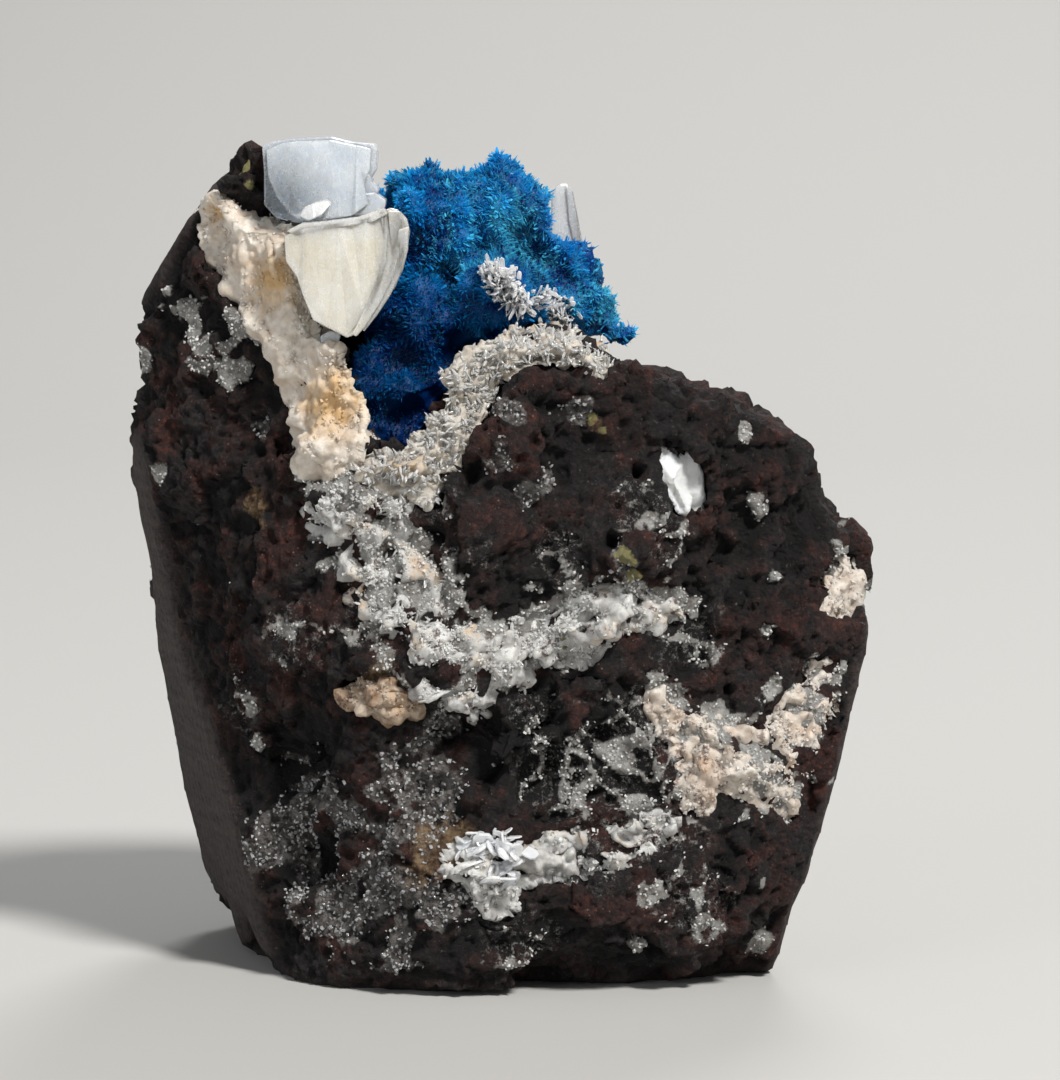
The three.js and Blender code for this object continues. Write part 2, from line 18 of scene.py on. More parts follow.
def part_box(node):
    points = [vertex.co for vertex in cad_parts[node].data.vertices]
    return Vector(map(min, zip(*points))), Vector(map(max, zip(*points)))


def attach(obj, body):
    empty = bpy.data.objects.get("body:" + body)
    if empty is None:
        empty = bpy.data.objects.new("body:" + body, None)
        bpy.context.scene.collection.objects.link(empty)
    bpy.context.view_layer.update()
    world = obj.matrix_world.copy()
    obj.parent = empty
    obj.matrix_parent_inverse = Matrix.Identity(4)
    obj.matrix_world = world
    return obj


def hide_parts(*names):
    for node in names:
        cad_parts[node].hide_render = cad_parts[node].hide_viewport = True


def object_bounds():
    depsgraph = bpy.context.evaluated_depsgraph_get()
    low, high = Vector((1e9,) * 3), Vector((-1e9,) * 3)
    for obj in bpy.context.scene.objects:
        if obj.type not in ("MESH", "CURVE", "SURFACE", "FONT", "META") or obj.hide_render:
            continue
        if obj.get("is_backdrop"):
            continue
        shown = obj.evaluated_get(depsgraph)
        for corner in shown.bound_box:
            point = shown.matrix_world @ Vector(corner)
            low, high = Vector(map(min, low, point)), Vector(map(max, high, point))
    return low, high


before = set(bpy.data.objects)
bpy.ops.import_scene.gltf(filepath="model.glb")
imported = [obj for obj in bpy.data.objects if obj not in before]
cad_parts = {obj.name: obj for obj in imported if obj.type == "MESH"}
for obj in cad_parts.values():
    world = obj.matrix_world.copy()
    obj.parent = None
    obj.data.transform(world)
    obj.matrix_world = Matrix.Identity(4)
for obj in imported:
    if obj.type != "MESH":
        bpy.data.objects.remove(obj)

MM = 0.001
cad_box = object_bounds()
print("solids:", ", ".join(sorted(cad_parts)))

# %% [markdown]
# ## The camera comes first
#
# Many features are placed by where they are in the photograph. A camera with a long lens looks
# slightly down at the front, as the photographer's did, and a ray through a picture dot finds the
# point of the rock that the dot shows. So the camera's place and lens are settled before anything.

# %% Camera
PHOTO_WIDTH, PHOTO_HEIGHT = 1060, 1080  # dots
MM_PER_DOT = 0.065  # at the front of the block
DOT = MM_PER_DOT * MM
CAMERA_DISTANCE = 290 * MM
CAMERA_ELEVATION = math.radians(6)
CAMERA_TARGET = Vector((1.99, -10.14, 29.2)) * MM
SENSOR = 36

look = Vector((0, math.cos(CAMERA_ELEVATION), -math.sin(CAMERA_ELEVATION)))
camera_data = bpy.data.cameras.new("camera")
camera_data.sensor_width = SENSOR
camera_data.lens = SENSOR * CAMERA_DISTANCE / (PHOTO_HEIGHT * DOT)
camera_data.clip_start, camera_data.clip_end = 10 * MM, 3
camera = bpy.data.objects.new("camera", camera_data)
camera.location = CAMERA_TARGET - look * CAMERA_DISTANCE
camera.rotation_euler = look.to_track_quat("-Z", "Y").to_euler()
bpy.context.scene.collection.objects.link(camera)
bpy.context.scene.camera = camera
camera_right = Vector((1, 0, 0))
camera_up = camera_right.cross(look)
print(f"lens {camera_data.lens:.0f} mm")


def ray_through(dot):
    """The direction from the camera through a picture dot (x, y) of the photograph."""
    aside = (dot[0] - PHOTO_WIDTH / 2) * DOT
    up = (PHOTO_HEIGHT / 2 - dot[1]) * DOT
    return (look * CAMERA_DISTANCE + camera_right * aside + camera_up * up).normalized()


def photo_point(dot, depth):
    """The point on the ray through a picture dot whose Y is `depth`."""
    ray = ray_through(dot)
    return camera.location + ray * ((depth - camera.location.y) / ray.y)


# %% [markdown]
# ## Helpers
#
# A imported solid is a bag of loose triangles. A copy of it is merged first, then rebuilt with small
# even faces by a voxel remesh, and then shaped by moving its corners along their normals.

# %% Objects and meshes
def new_object(name, mesh):
    made = bpy.data.objects.new(name, mesh)
    bpy.context.scene.collection.objects.link(made)
    return made


def finished_mesh(bm, name):
    mesh = bpy.data.meshes.new(name)
    bm.to_mesh(mesh)
    bm.free()
    return mesh


def applied(obj, name):
    """A new object that holds obj's mesh with its modifiers applied. The old object is removed."""
    graph = bpy.context.evaluated_depsgraph_get()
    mesh = bpy.data.meshes.new_from_object(obj.evaluated_get(graph), depsgraph=graph)
    mesh.name = name
    old = obj.data
    bpy.data.objects.remove(obj)
    bpy.data.meshes.remove(old)
    return new_object(name, mesh)


# %% From a solid to a fine mesh
def merged_solid(node, swell=0.0, shift=(0, 0, 0)):
    """A bmesh of one solid with its corners merged, grown by `swell` and moved by `shift`."""
    bm = bmesh.new()
    bm.from_mesh(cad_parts[node].data)
    bmesh.ops.remove_doubles(bm, verts=bm.verts, dist=1e-3 * MM)
    bm.normal_update()
    for corner in bm.verts:
        corner.co += corner.normal * swell
    bmesh.ops.translate(bm, vec=shift, verts=bm.verts)
    return bm


def remeshed(bm, name, voxel):
    obj = new_object(name + "_coarse", finished_mesh(bm, name + "_coarse"))
    remesh = obj.modifiers.new("even faces", "REMESH")
    remesh.mode = "VOXEL"
    remesh.voxel_size = voxel
    remesh.use_smooth_shade = True
    made = applied(obj, name)
    print(f"{name}: {len(made.data.polygons)} faces")
    return made


# %% Reading and moving corners
def corners_and_normals(mesh):
    count = len(mesh.vertices)
    places = np.empty(count * 3, np.float32)
    normals = np.empty(count * 3, np.float32)
    mesh.vertices.foreach_get("co", places)
    mesh.vertex_normals.foreach_get("vector", normals)
    return places.reshape(-1, 3), normals.reshape(-1, 3)


def push(obj, height):
    """Moves each corner along its normal. height is one number per corner, in metres."""
    places, normals = corners_and_normals(obj.data)
    places += normals * np.asarray(height, np.float32)[:, None]
    places[:, 2] = np.maximum(places[:, 2], 0)  # nothing goes under the floor
    obj.data.vertices.foreach_set("co", places.ravel())
    obj.data.update()


def set_attribute(obj, name, values):
    attribute = obj.data.attributes.new(name, "FLOAT", "POINT")
    attribute.data.foreach_set("value", np.asarray(values, np.float32))


# %% [markdown]
# ## Noise
#
# Grown and broken things have no even surface, and noise stands in for their chances. Each kind
# here answers for a list of places, and a seed gives each use its own part of the same noise, so
# the script makes the same block every time.

# %% Noise to shape with
noise.seed_set(7)  # noise_vector starts from the clock until it is seeded


def noise_spots(places, size, seed):
    """The places in units of the noise, each seed in a part of the noise of its own."""
    offset = Vector((seed * 7.3, seed * 3.1, seed * 5.7))
    return [Vector(place) / size + offset for place in places]


def smooth_noise(places, size, seed):
    """Noise from about -1 to 1, whose lumps are about `size` metres wide."""
    return np.array([noise.noise(spot) for spot in noise_spots(places, size, seed)])


def cell_distance(places, size, seed):
    """Distance to the nearest of random points about `size` apart, in that unit."""
    return np.array([noise.voronoi(spot)[0][0] for spot in noise_spots(places, size, seed)])


def facets(places, size, lean, seed):
    """Steps from -1 to 1 between angular cells about `size` wide, each with a slope of its own."""
    heights = []
    for spot in noise_spots(places, size, seed):
        middle = noise.voronoi(spot)[1][0]
        slope = noise.noise_vector(middle * 9.1)
        heights.append(math.sin(40 * noise.noise(middle * 5.3)) + lean * slope.dot(spot - middle))
    return np.array(heights)


def ramp(values, low, high):
    """0 below low, 1 above high, and a smooth rise between them."""
    share = np.clip((values - low) / (high - low), 0, 1)
    return share * share * (3 - 2 * share)


# %% [markdown]
# ## The block of basalt
#
# The real block is breccia: angular pieces of dark, rough, slightly bubbly basalt, with a crust of
# grains on every broken face. Two sides and the base were sawn, so they stay flat. The fine mesh
# also fills the narrow gaps that the solids keep from each other, under every vein. The front,
# which shows most, gets faces half as wide as the rest.

# %% Fine mesh of the block
ROCK_VOXEL = 0.5 * MM
GAP_FILL = 0.25 * MM
VEIN_SINK = 0.8 * MM
FRONT = Vector((0, -1, 0.1))
THICK_CRUSTS = ["cream_band", "rim_druse", "brown_lump", "white_amygdule", "edge_amygdule"]
VEINS = ["front_vein", "right_vein", "lower_vein"]
FRONT_FACING = 0.35  # a face turned this far to the front is made finer
whole = merged_solid("basalt_matrix")
for node in THICK_CRUSTS + VEINS:
    filling = merged_solid(node, GAP_FILL, (0, VEIN_SINK, 0))
    filling_mesh = finished_mesh(filling, "filling")
    whole.from_mesh(filling_mesh)
    bpy.data.meshes.remove(filling_mesh)
rock = remeshed(whole, "basalt_block", ROCK_VOXEL)

bm = bmesh.new()
bm.from_mesh(rock.data)
front_faces = [face for face in bm.faces if face.normal.dot(FRONT) > FRONT_FACING]
front_edges = list(dict.fromkeys(edge for face in front_faces for edge in face.edges))
bmesh.ops.subdivide_edges(bm, edges=front_edges, cuts=1, use_grid_fill=True)
bm.to_mesh(rock.data)
bm.free()
print(f"with a fine front: {len(rock.data.polygons)} faces")
places, normals = corners_and_normals(rock.data)

# %% [markdown]
# ## Sawn faces
#
# A dealer trims such a block with a saw, which leaves dull flat faces with fine curved marks. The
# solid has them already. The flat that faces each way is found again here, as the plane that most
# corners lie on, so that the rough relief can leave it alone.

# %% Corners on the sawn faces
SAWN_DIRECTIONS = {
    "base": (0, 0, -1),
    "left, top": (-0.83, 0.04, 0.555),
    "right, lower": (0.955, 0.12, -0.26),
    "left, lower": (-0.935, -0.28, -0.2),
}
SAWN_FLATNESS = 0.12 * MM  # how far a corner may be from a sawn plane to count as sawn
SAWN_FACING = 0.99  # how squarely it has to face the saw


def sawn_share(direction):
    """1 on the corners of the flat face that a saw cut left in this direction, and 0 elsewhere."""
    outward = np.array(Vector(direction).normalized())
    reach = places @ outward
    facing = normals @ outward > SAWN_FACING
    steps = np.round(reach[facing] / SAWN_FLATNESS).astype(int)
    plane = np.bincount(steps - steps.min()).argmax() + steps.min()
    return 1 - ramp(np.abs(reach - plane * SAWN_FLATNESS), SAWN_FLATNESS, 6 * SAWN_FLATNESS)


sawn = {name: sawn_share(direction) for name, direction in SAWN_DIRECTIONS.items()}
any_sawn = np.max(list(sawn.values()), axis=0)
for name, share in sawn.items():
    print(f"sawn face, {name}: {int((share > 0.5).sum())} corners")

# %% [markdown]
# ## Where the minerals are
#
# The pale minerals sit in patches. Each patch is named here by the picture dots that it covers,
# as circles (x, y, radius). A ray finds the rock behind each circle's middle, and every corner of
# the rock then knows how deep it is inside each kind of patch. Noise frays the circles' edges.
# The back isn't in the photograph, so a few thin threads of the same cement are guessed there.
# Painting by hand would do the same, but these lists can be read, moved and repeated.

# %% Patches, as circles of picture dots
PATCHES = {
    "white": [
        # the front vein and its right arm
        (360, 485, 50), (385, 540, 54), (420, 600, 52), (465, 650, 50), (530, 640, 42),
        (600, 612, 36), (660, 602, 26), (692, 606, 16), (320, 480, 22), (455, 700, 20),
        # the right vein
        (670, 700, 26), (705, 730, 40), (760, 765, 44), (800, 720, 42), (825, 675, 26), (790, 800, 22),
        (705, 785, 26), (848, 580, 34),
        # the left face
        (190, 322, 24), (212, 345, 28), (238, 330, 24), (226, 366, 18), (256, 308, 15), (160, 290, 14),
        (255, 710, 10), (256, 738, 11), (145, 360, 12), (160, 470, 12),
        # smears in the recess
        (615, 760, 16), (640, 735, 15), (592, 800, 22), (640, 805, 18), (565, 790, 12),
        # beside the tan lump
        (412, 684, 13), (396, 708, 10), (344, 708, 9),
        # scattered fillings
        (672, 455, 15), (680, 488, 13), (745, 430, 10), (753, 498, 10), (762, 512, 8), (778, 576, 8),
        (772, 632, 12), (655, 890, 14), (760, 880, 8), (757, 938, 16), (500, 905, 12), (555, 900, 14),
        (640, 950, 10), (560, 870, 22), (700, 925, 8),
    ],
    "net": [
        (560, 770, 46), (620, 760, 60), (650, 720, 36), (600, 830, 46), (680, 830, 30), (530, 700, 26),
        (690, 640, 34), (640, 510, 30), (670, 540, 26), (430, 500, 26), (480, 560, 18), (700, 900, 40),
        (300, 640, 34), (370, 620, 26), (520, 950, 36), (240, 700, 26), (560, 560, 24),
    ],
    "glassy": [
        # the grey druse at the lower left, round its dark hole
        (268, 850, 34), (300, 812, 36), (350, 812, 42), (400, 830, 46), (380, 885, 52), (335, 910, 42),
        (285, 900, 28), (425, 770, 38), (440, 720, 26), (400, 945, 26), (445, 900, 34),
        # clear crystals beside the cream band and under the rim
        (260, 435, 16), (520, 490, 20), (505, 460, 16), (550, 480, 16), (580, 410, 14), (628, 565, 18),
        # a thin crust that leaves the rim
        (584, 352, 11), (586, 376, 12), (588, 398, 9), (498, 404, 9), (514, 412, 10), (532, 428, 10),
    ],
    "ochre": [
        (330, 400, 24), (270, 280, 24), (432, 850, 42), (257, 505, 20), (375, 690, 26), (597, 424, 9),
        (500, 655, 20), (345, 445, 26), (395, 475, 20), (580, 645, 14), (440, 640, 14), (455, 835, 22),
    ],
    "olive": [
        (626, 556, 11), (634, 576, 10), (575, 645, 17), (243, 166, 12), (250, 184, 9), (592, 420, 8),
        (603, 430, 6),
    ],
    "hole": [
        (310, 862, 26), (430, 540, 12), (540, 690, 20), (560, 720, 22), (545, 400, 20),
        (470, 470, 14), (610, 540, 10), (262, 278, 15), (640, 470, 10), (730, 690, 8),
    ],
    "recess": [
        (480, 750, 52), (540, 760, 62), (600, 740, 40), (290, 770, 44), (440, 800, 40), (300, 860, 50),
    ],
}

# %% How deep each corner lies in its patches
rock_tree = BVHTree.FromObject(rock, bpy.context.evaluated_depsgraph_get())


def patch_depth(circles, points):
    """1 in the middle of the nearest circle, 0 on its edge, and less outside it."""
    depth = np.full(len(points), -9.0)
    for x, y, radius in circles:
        middle = rock_tree.ray_cast(camera.location, ray_through((x, y)))[0]
        if middle is None:
            print(f"no rock behind dot {x}, {y}")
            continue
        distance = np.linalg.norm(points - np.array(middle), axis=1)
        depth = np.maximum(depth, 1 - distance / (radius * DOT))
    return depth


fray = 1.1 * smooth_noise(places, 2.0 * MM, 21) + 0.8 * smooth_noise(places, 0.8 * MM, 22)
wander = smooth_noise(places, 2.6 * MM, 23) + 0.3 * smooth_noise(places, 0.9 * MM, 24)
threads = 1 - ramp(np.abs(wander), 0, 0.17)
depths = {kind: patch_depth(circles, places) for kind, circles in PATCHES.items()}
white_share = ramp(depths["white"] + fray, 0.1, 0.5)
behind = ramp(normals[:, 1], 0.0, 0.4) * ramp(smooth_noise(places, 8 * MM, 25), 0.1, 0.4)
behind *= 1 - any_sawn
net_share = threads * np.maximum(ramp(depths["net"] + 0.6 * fray, -0.1, 0.4), behind)
white_share = np.maximum(white_share, net_share)
glassy_share = ramp(depths["glassy"] + 0.8 * fray, -0.1, 0.5)
ochre_share = ramp(depths["ochre"] + 0.5 * fray, -0.2, 0.6)
olive_share = ramp(depths["olive"] + 0.4 * fray, 0.0, 0.4)
hole_share = ramp(depths["hole"] + 0.4 * fray, -0.1, 0.7)
recess_share = ramp(depths["recess"] + 0.3 * fray, -0.1, 0.8)
dust_share = ramp(depths["net"] + 0.6 * fray, -0.4, 0.6)
shares = {
    "white": white_share,
    "glassy": glassy_share,
    "ochre": ochre_share,
    "olive": olive_share,
    "dust": dust_share,
}
for name, share in shares.items():
    set_attribute(rock, name, share)
    print(f"{name}: {int((share > 0.5).sum())} corners")
set_attribute(rock, "sawn", any_sawn)

# %% [markdown]
# ## Rough broken faces
#
# A sculptor would use brushes for this. Moving corners by noise does the same in code, and it is
# repeatable. Angular cells of three sizes give the ledges and splinters of broken rock, smooth
# noise the swells, and small round cells the pits that gas bubbles left.

# %% Relief of the rock
def close_to(nodes, reach):
    """Which corners lie within `reach` of these solids."""
    trees = [BVHTree.FromBMesh(merged_solid(node)) for node in nodes]
    near = [any(tree.find_nearest(place, reach)[0] for tree in trees) for place in map(Vector, places)]
    return np.array(near)


HIGHEST = 0.7  # mm that the rock may rise anywhere
bubbly = ramp(smooth_noise(places, 5 * MM, 9), -0.1, 0.3)
bubbles = 1 - ramp(cell_distance(places, 1.9 * MM, 4), 0.12, 0.34)
pores = 1 - ramp(cell_distance(places, 0.9 * MM, 5), 0.16, 0.4)
rock_height = (  # mm
    -0.1
    + 0.42 * facets(places, 5.2 * MM, 0.7, 1)
    + 0.3 * facets(places, 2.0 * MM, 1.2, 2)
    + 0.16 * facets(places, 0.85 * MM, 1.0, 3)
    + 0.3 * smooth_noise(places, 3.2 * MM, 6)
    + 0.2 * smooth_noise(places, 0.6 * MM, 7)
    - 0.6 * bubbles * bubbly
    - 0.3 * pores * (1 - bubbly)
    - 1.2 * hole_share
    - 1.5 * recess_share
)
rock_height = np.minimum(rock_height * (1 - 0.5 * white_share), HIGHEST) + 0.1 * white_share
rock_height[close_to(VEINS, 0.5 * MM)] *= 0.5

# %% [markdown]
# ## Rock under and beside the crusts
#
# A crust grows over the rock, so no splinter may come through it. Rock that the camera would see
# through a crust is sunk. Beside a crust the rock is raised a little, so that its edge is bedded in.

# %% Under and beside the crusts
SUNK, RAISED = -0.35, 0.35  # mm, under a crust and beside it
NEAR_CRUST, TOUCHING_CRUST = 1.4 * MM, 0.25 * MM
CRUST_DEPTH = 3 * MM  # a corner this far behind a crust, seen from the camera, is under it
SEEN_FROM_FRONT = 0.2
crust_trees = [BVHTree.FromBMesh(merged_solid(node)) for node in THICK_CRUSTS]


def is_under_crust(place):
    return any(tree.ray_cast(place, -look, CRUST_DEPTH)[0] for tree in crust_trees)


under_crust = np.array([is_under_crust(place) for place in map(Vector, places)])
under_crust |= close_to(THICK_CRUSTS, TOUCHING_CRUST)
faces_front = normals @ np.array(FRONT) > SEEN_FROM_FRONT
beside_crust = close_to(THICK_CRUSTS, NEAR_CRUST) & ~under_crust & faces_front
print(f"{int(under_crust.sum())} corners under a crust, {int(beside_crust.sum())} beside one")
rock_height[under_crust] = np.minimum(rock_height[under_crust], SUNK)
rock_height[beside_crust] = np.minimum(rock_height[beside_crust] + RAISED, HIGHEST)
striations = 0.03 * np.sin(places[:, 1] / (0.2 * MM) + 3 * smooth_noise(places, 6 * MM, 8))
relief = (rock_height * (1 - any_sawn) + striations * sawn["left, lower"]) * MM
push(rock, relief)
# how low each place lies, kept for the painted shade of the low places
set_attribute(rock, "relief", ramp(rock_height * (1 - any_sawn), -0.9, 0.5))
print(f"basalt relief from {relief.min() / MM:.2f} to {relief.max() / MM:.2f} mm")

# %% [markdown]
# ## Materials
#
# Every finish is a small graph of noise. Colours of rock are never even, so each one mixes a dark
# and a light tone by noise at the size of the real grains, and the bump comes from the same noise.

# %% A short way to write shader graphs
class Shader:
    def __init__(self, name):
        self.material = bpy.data.materials.new(name)
        self.material.use_nodes = True
        self.tree = self.material.node_tree
        self.surface = self.tree.nodes["Principled BSDF"]
        self.coordinates = self.node("ShaderNodeTexCoord").outputs["Object"]

    def node(self, kind, settings=None, **inputs):
        made = self.tree.nodes.new(kind)
        for key, value in (settings or {}).items():
            setattr(made, key, value)
        for key, value in inputs.items():
            self.put(made.inputs[key.replace("_", " ")], value)
        return made

    def put(self, socket, value):
        if isinstance(value, bpy.types.NodeSocket):
            self.tree.links.new(value, socket)
        else:
            socket.default_value = value

    def set(self, name, value):
        self.put(self.surface.inputs[name], value)

    def noise(self, size_mm, detail=4, rough=0.6, stretch=(1, 1, 1)):
        scaled = self.node("ShaderNodeMapping", Vector=self.coordinates, Scale=stretch)
        made = self.node("ShaderNodeTexNoise", Vector=scaled.outputs[0], Scale=1 / (size_mm * MM))
        made.inputs["Detail"].default_value = detail
        made.inputs["Roughness"].default_value = rough
        return made.outputs["Fac"]

    def cells(self, size_mm):
        made = self.node("ShaderNodeTexVoronoi", Vector=self.coordinates, Scale=1 / (size_mm * MM))
        return made.outputs["Distance"]

    def distance_to(self, place):
        made = self.node("ShaderNodeVectorMath", {"operation": "DISTANCE"}, Vector=self.coordinates)
        made.inputs[1].default_value = place
        return made.outputs["Value"]

    def attribute(self, name):
        return self.node("ShaderNodeAttribute", {"attribute_name": name}).outputs["Fac"]

    def math(self, kind, a, b=0.0):
        made = self.node("ShaderNodeMath", {"operation": kind})
        self.put(made.inputs[0], a)
        self.put(made.inputs[1], b)
        return made.outputs[0]

    def times(self, a, b):
        return self.math("MULTIPLY", a, b)

    def plus(self, a, b):
        return self.math("ADD", a, b)

    def between(self, value, low, high):
        """0 where value is under low, 1 where it is over high."""
        made = self.node("ShaderNodeMapRange", {"clamp": True}, Value=value)
        made.inputs["From Min"].default_value = low
        made.inputs["From Max"].default_value = high
        return made.outputs["Result"]

    def mix(self, share, first, second):
        made = self.node("ShaderNodeMix", {"data_type": "RGBA"})
        self.put(made.inputs[0], share)
        self.put(made.inputs[6], first)
        self.put(made.inputs[7], second)
        return made.outputs[2]

    def bump(self, height, depth_mm, strength=1.0):
        made = self.node("ShaderNodeBump", Height=height, Strength=strength)
        made.inputs["Distance"].default_value = depth_mm * MM
        self.set("Normal", made.outputs["Normal"])

    def scatter_light(self, weight, depth_mm, radius=(1.0, 0.9, 0.75)):
        self.set("Subsurface Weight", weight)
        self.set("Subsurface Radius", radius)
        self.set("Subsurface Scale", depth_mm * MM)


# %% Colours, and what a piece wears
def rgb(red, green, blue):
    """A colour given by 0 to 255 screen values, as a linear colour."""
    shares = [value / 255 for value in (red, green, blue)]
    return (*[c / 12.92 if c <= 0.04045 else ((c + 0.055) / 1.055) ** 2.4 for c in shares], 1)


def dress(piece, finish, slot, *nodes):
    """Gives a piece its material and its body, and hides the solids that it stands for. slot is not used.
    """
    piece.data.materials.clear()
    piece.data.materials.append(finish)
    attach(piece, "root")
    if nodes:
        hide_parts(*nodes)
    print(f"{piece.name} wears {finish.name}")


# %% [markdown]
# ## The look of basalt
#
# Basalt is near black where it is fresh and rusty red where it has weathered, with pale specks of
# feldspar. An image would be quicker, but noise has no seams and no end. The attributes made
# above say where the sawn faces and the pale patches are, and fine noise frays their edges again.
# The low places of the relief get a painted shade of near black.

# %% Basalt
def basalt_finish():
    s = Shader("basalt")
    grain = s.noise(0.45, 5, 0.75)
    reddish = s.between(s.noise(3.2, 4, 0.65), 0.44, 0.6)
    dark = s.mix(reddish, rgb(24, 20, 21), rgb(50, 27, 23))
    light = s.mix(reddish, rgb(72, 63, 62), rgb(116, 62, 47))
    tone = s.mix(s.times(s.between(grain, 0.48, 0.7), 0.85), dark, light)
    specks = s.times(s.between(s.cells(0.5), 0.16, 0.08), s.between(s.noise(1.6, 2), 0.5, 0.6))
    tone = s.mix(s.times(specks, 0.6), tone, rgb(150, 140, 132))
    # painted shade: the low places of the relief, pits and recesses, darken toward near black
    tone = s.mix(s.between(s.attribute("relief"), 0.8, 0.1), tone, rgb(10, 7, 7))
    saw_marks = s.plus(s.noise(0.35, 6, 0.8), s.times(s.noise(0.5, 3, stretch=(0.1, 0.1, 1)), 0.4))
    saw_tone = s.mix(s.between(saw_marks, 0.55, 0.85), rgb(26, 22, 23), rgb(76, 66, 63))
    tone = s.mix(s.attribute("sawn"), tone, saw_tone)
    patchy = s.times(s.math("SUBTRACT", s.noise(0.5, 5, 0.75), 0.5), 1.8)
    white = s.between(s.plus(s.attribute("white"), patchy), 0.25, 0.65)
    glassy = s.between(s.plus(s.attribute("glassy"), patchy), 0.4, 0.8)
    ochre = s.between(s.plus(s.attribute("ochre"), patchy), 0.4, 0.9)
    olive = s.between(s.plus(s.attribute("olive"), patchy), 0.4, 0.8)
    white_tone = s.mix(s.between(s.noise(0.9, 4), 0.35, 0.65), rgb(146, 140, 134), rgb(212, 212, 208))
    glass_tone = s.mix(s.between(s.noise(0.6, 5, 0.7), 0.4, 0.6), rgb(78, 73, 70), rgb(156, 152, 148))
    tone = s.mix(s.times(glassy, 0.8), tone, glass_tone)
    dust = s.times(s.between(s.noise(0.5, 6, 0.8), 0.53, 0.62), s.attribute("dust"))
    tone = s.mix(s.times(dust, 0.8), tone, white_tone)
    tone = s.mix(s.times(white, 0.9), tone, white_tone)
    tone = s.mix(s.times(olive, 0.85), tone, rgb(168, 161, 108))
    ochre_tone = s.mix(s.between(s.noise(0.7, 5, 0.7), 0.4, 0.62), rgb(96, 70, 50), rgb(188, 158, 118))
    tone = s.mix(s.times(ochre, 0.65), tone, ochre_tone)
    s.set("Base Color", tone)
    s.set("Roughness", s.math("SUBTRACT", 0.8, s.times(glassy, 0.4)))
    s.set("Specular IOR Level", 0.4)
    height = s.plus(s.noise(0.18, 5, 0.8), s.times(s.noise(0.8, 5, 0.75), 1.3))
    height = s.plus(height, s.times(s.between(s.cells(0.45), 0.0, 0.5), 0.5))
    s.bump(s.times(height, s.math("SUBTRACT", 1.0, s.times(s.attribute("sawn"), 0.75))), 0.42)
    return s.material


dress(rock, basalt_finish(), "basalt", "basalt_matrix")

# %% [markdown]
# ## Small crystals
#
# Thousands of small crystals make the sparkle of this piece, and no two are alike. Each kind is
# modelled once, with a few faces, standing on the origin and one unit long. A node graph then
# scatters it over a surface, leans and scales each copy at random, and makes the copies real mesh.
# Each copy keeps two numbers for its material: its own tint, and how near its tip a corner is.

# %% Crystal forms
def crystal_form(name, bm):
    """An unlinked object for the scatter to copy. Its corners know how near the tip they are."""
    mesh = finished_mesh(bm, name)
    form = bpy.data.objects.new(name, mesh)
    set_attribute(form, "tip", [corner.co.z for corner in mesh.vertices])
    print(f"{name}: a form of {len(mesh.polygons)} faces")
    return form


def spike_form(name, sides, flat=1.0):
    """The plainest crystal: a pyramid as long as its width allows."""
    bm = bmesh.new()
    lift = Matrix.Translation((0, 0, 0.5))
    bmesh.ops.create_cone(bm, cap_ends=True, segments=sides, radius1=0.5, radius2=0, depth=1, matrix=lift)
    bmesh.ops.scale(bm, vec=(1, flat, 1), verts=bm.verts)
    return crystal_form(name, bm)


def pointed_form(name, sides, tip, flat=1.0, taper=0.9):
    """A prism whose last `tip` share narrows to a point. flat squeezes it into a blade."""
    bm = bmesh.new()
    lift = Matrix.Translation((0, 0, (1 - tip) / 2))
    bmesh.ops.create_cone(
        bm, cap_ends=True, segments=sides, radius1=0.5, radius2=0.5 * taper, depth=1 - tip, matrix=lift
    )
    top = max(bm.faces, key=lambda face: face.calc_center_median().z)
    bmesh.ops.poke(bm, faces=[top], offset=tip)
    bmesh.ops.scale(bm, vec=(1, flat, 1), verts=bm.verts)
    return crystal_form(name, bm)


def plate_form(name, thick, chamfer):
    """A thin upright plate with its two top corners cut off, as stilbite and heulandite grow."""
    bm = bmesh.new()
    bmesh.ops.create_cube(bm, size=1, matrix=Matrix.Translation((0, 0, 0.5)))
    bmesh.ops.scale(bm, vec=(1, thick, 1), verts=bm.verts)
    shoulders = [
        edge
        for edge in bm.edges
        if min(corner.co.z for corner in edge.verts) > 0.9 and edge.verts[0].co.x == edge.verts[1].co.x
    ]
    bmesh.ops.bevel(
        bm, geom=shoulders, offset=chamfer, segments=1, profile=0.5, affect="EDGES", material=-1
    )
    return crystal_form(name, bm)


def grain_form(name, skew):
    """A small cleaved block, like a grain of sugar."""
    bm = bmesh.new()
    bmesh.ops.create_cube(bm, size=1, matrix=Matrix.Translation((0, 0, 0.4)))
    sheared = Matrix(((1, skew, 0, 0), (0, 0.8, 0, 0), (0, skew, 0.9, 0), (0, 0, 0, 1)))
    bmesh.ops.transform(bm, matrix=sheared, verts=bm.verts)
    return crystal_form(name, bm)


# %% One of each form
spike = spike_form("spike", 4, 0.6)
blade = pointed_form("blade", 4, 0.2, flat=0.3, taper=1.0)
stub = pointed_form("stub", 4, 0.45)
six_sided = pointed_form("six_sided", 6, 0.5)
plate = plate_form("plate", 0.3, 0.25)
grain = grain_form("grain", 0.2)
other_grain = grain_form("other_grain", -0.3)


# %% [markdown]
# ## Scattering
#
# A particle system could strew the crystals, but a node graph can also choose their number by an
# attribute and turn every copy into real mesh, which any other program can read. The graph is
# built in code: points on the faces, a crystal on each, a lean and a size by chance.

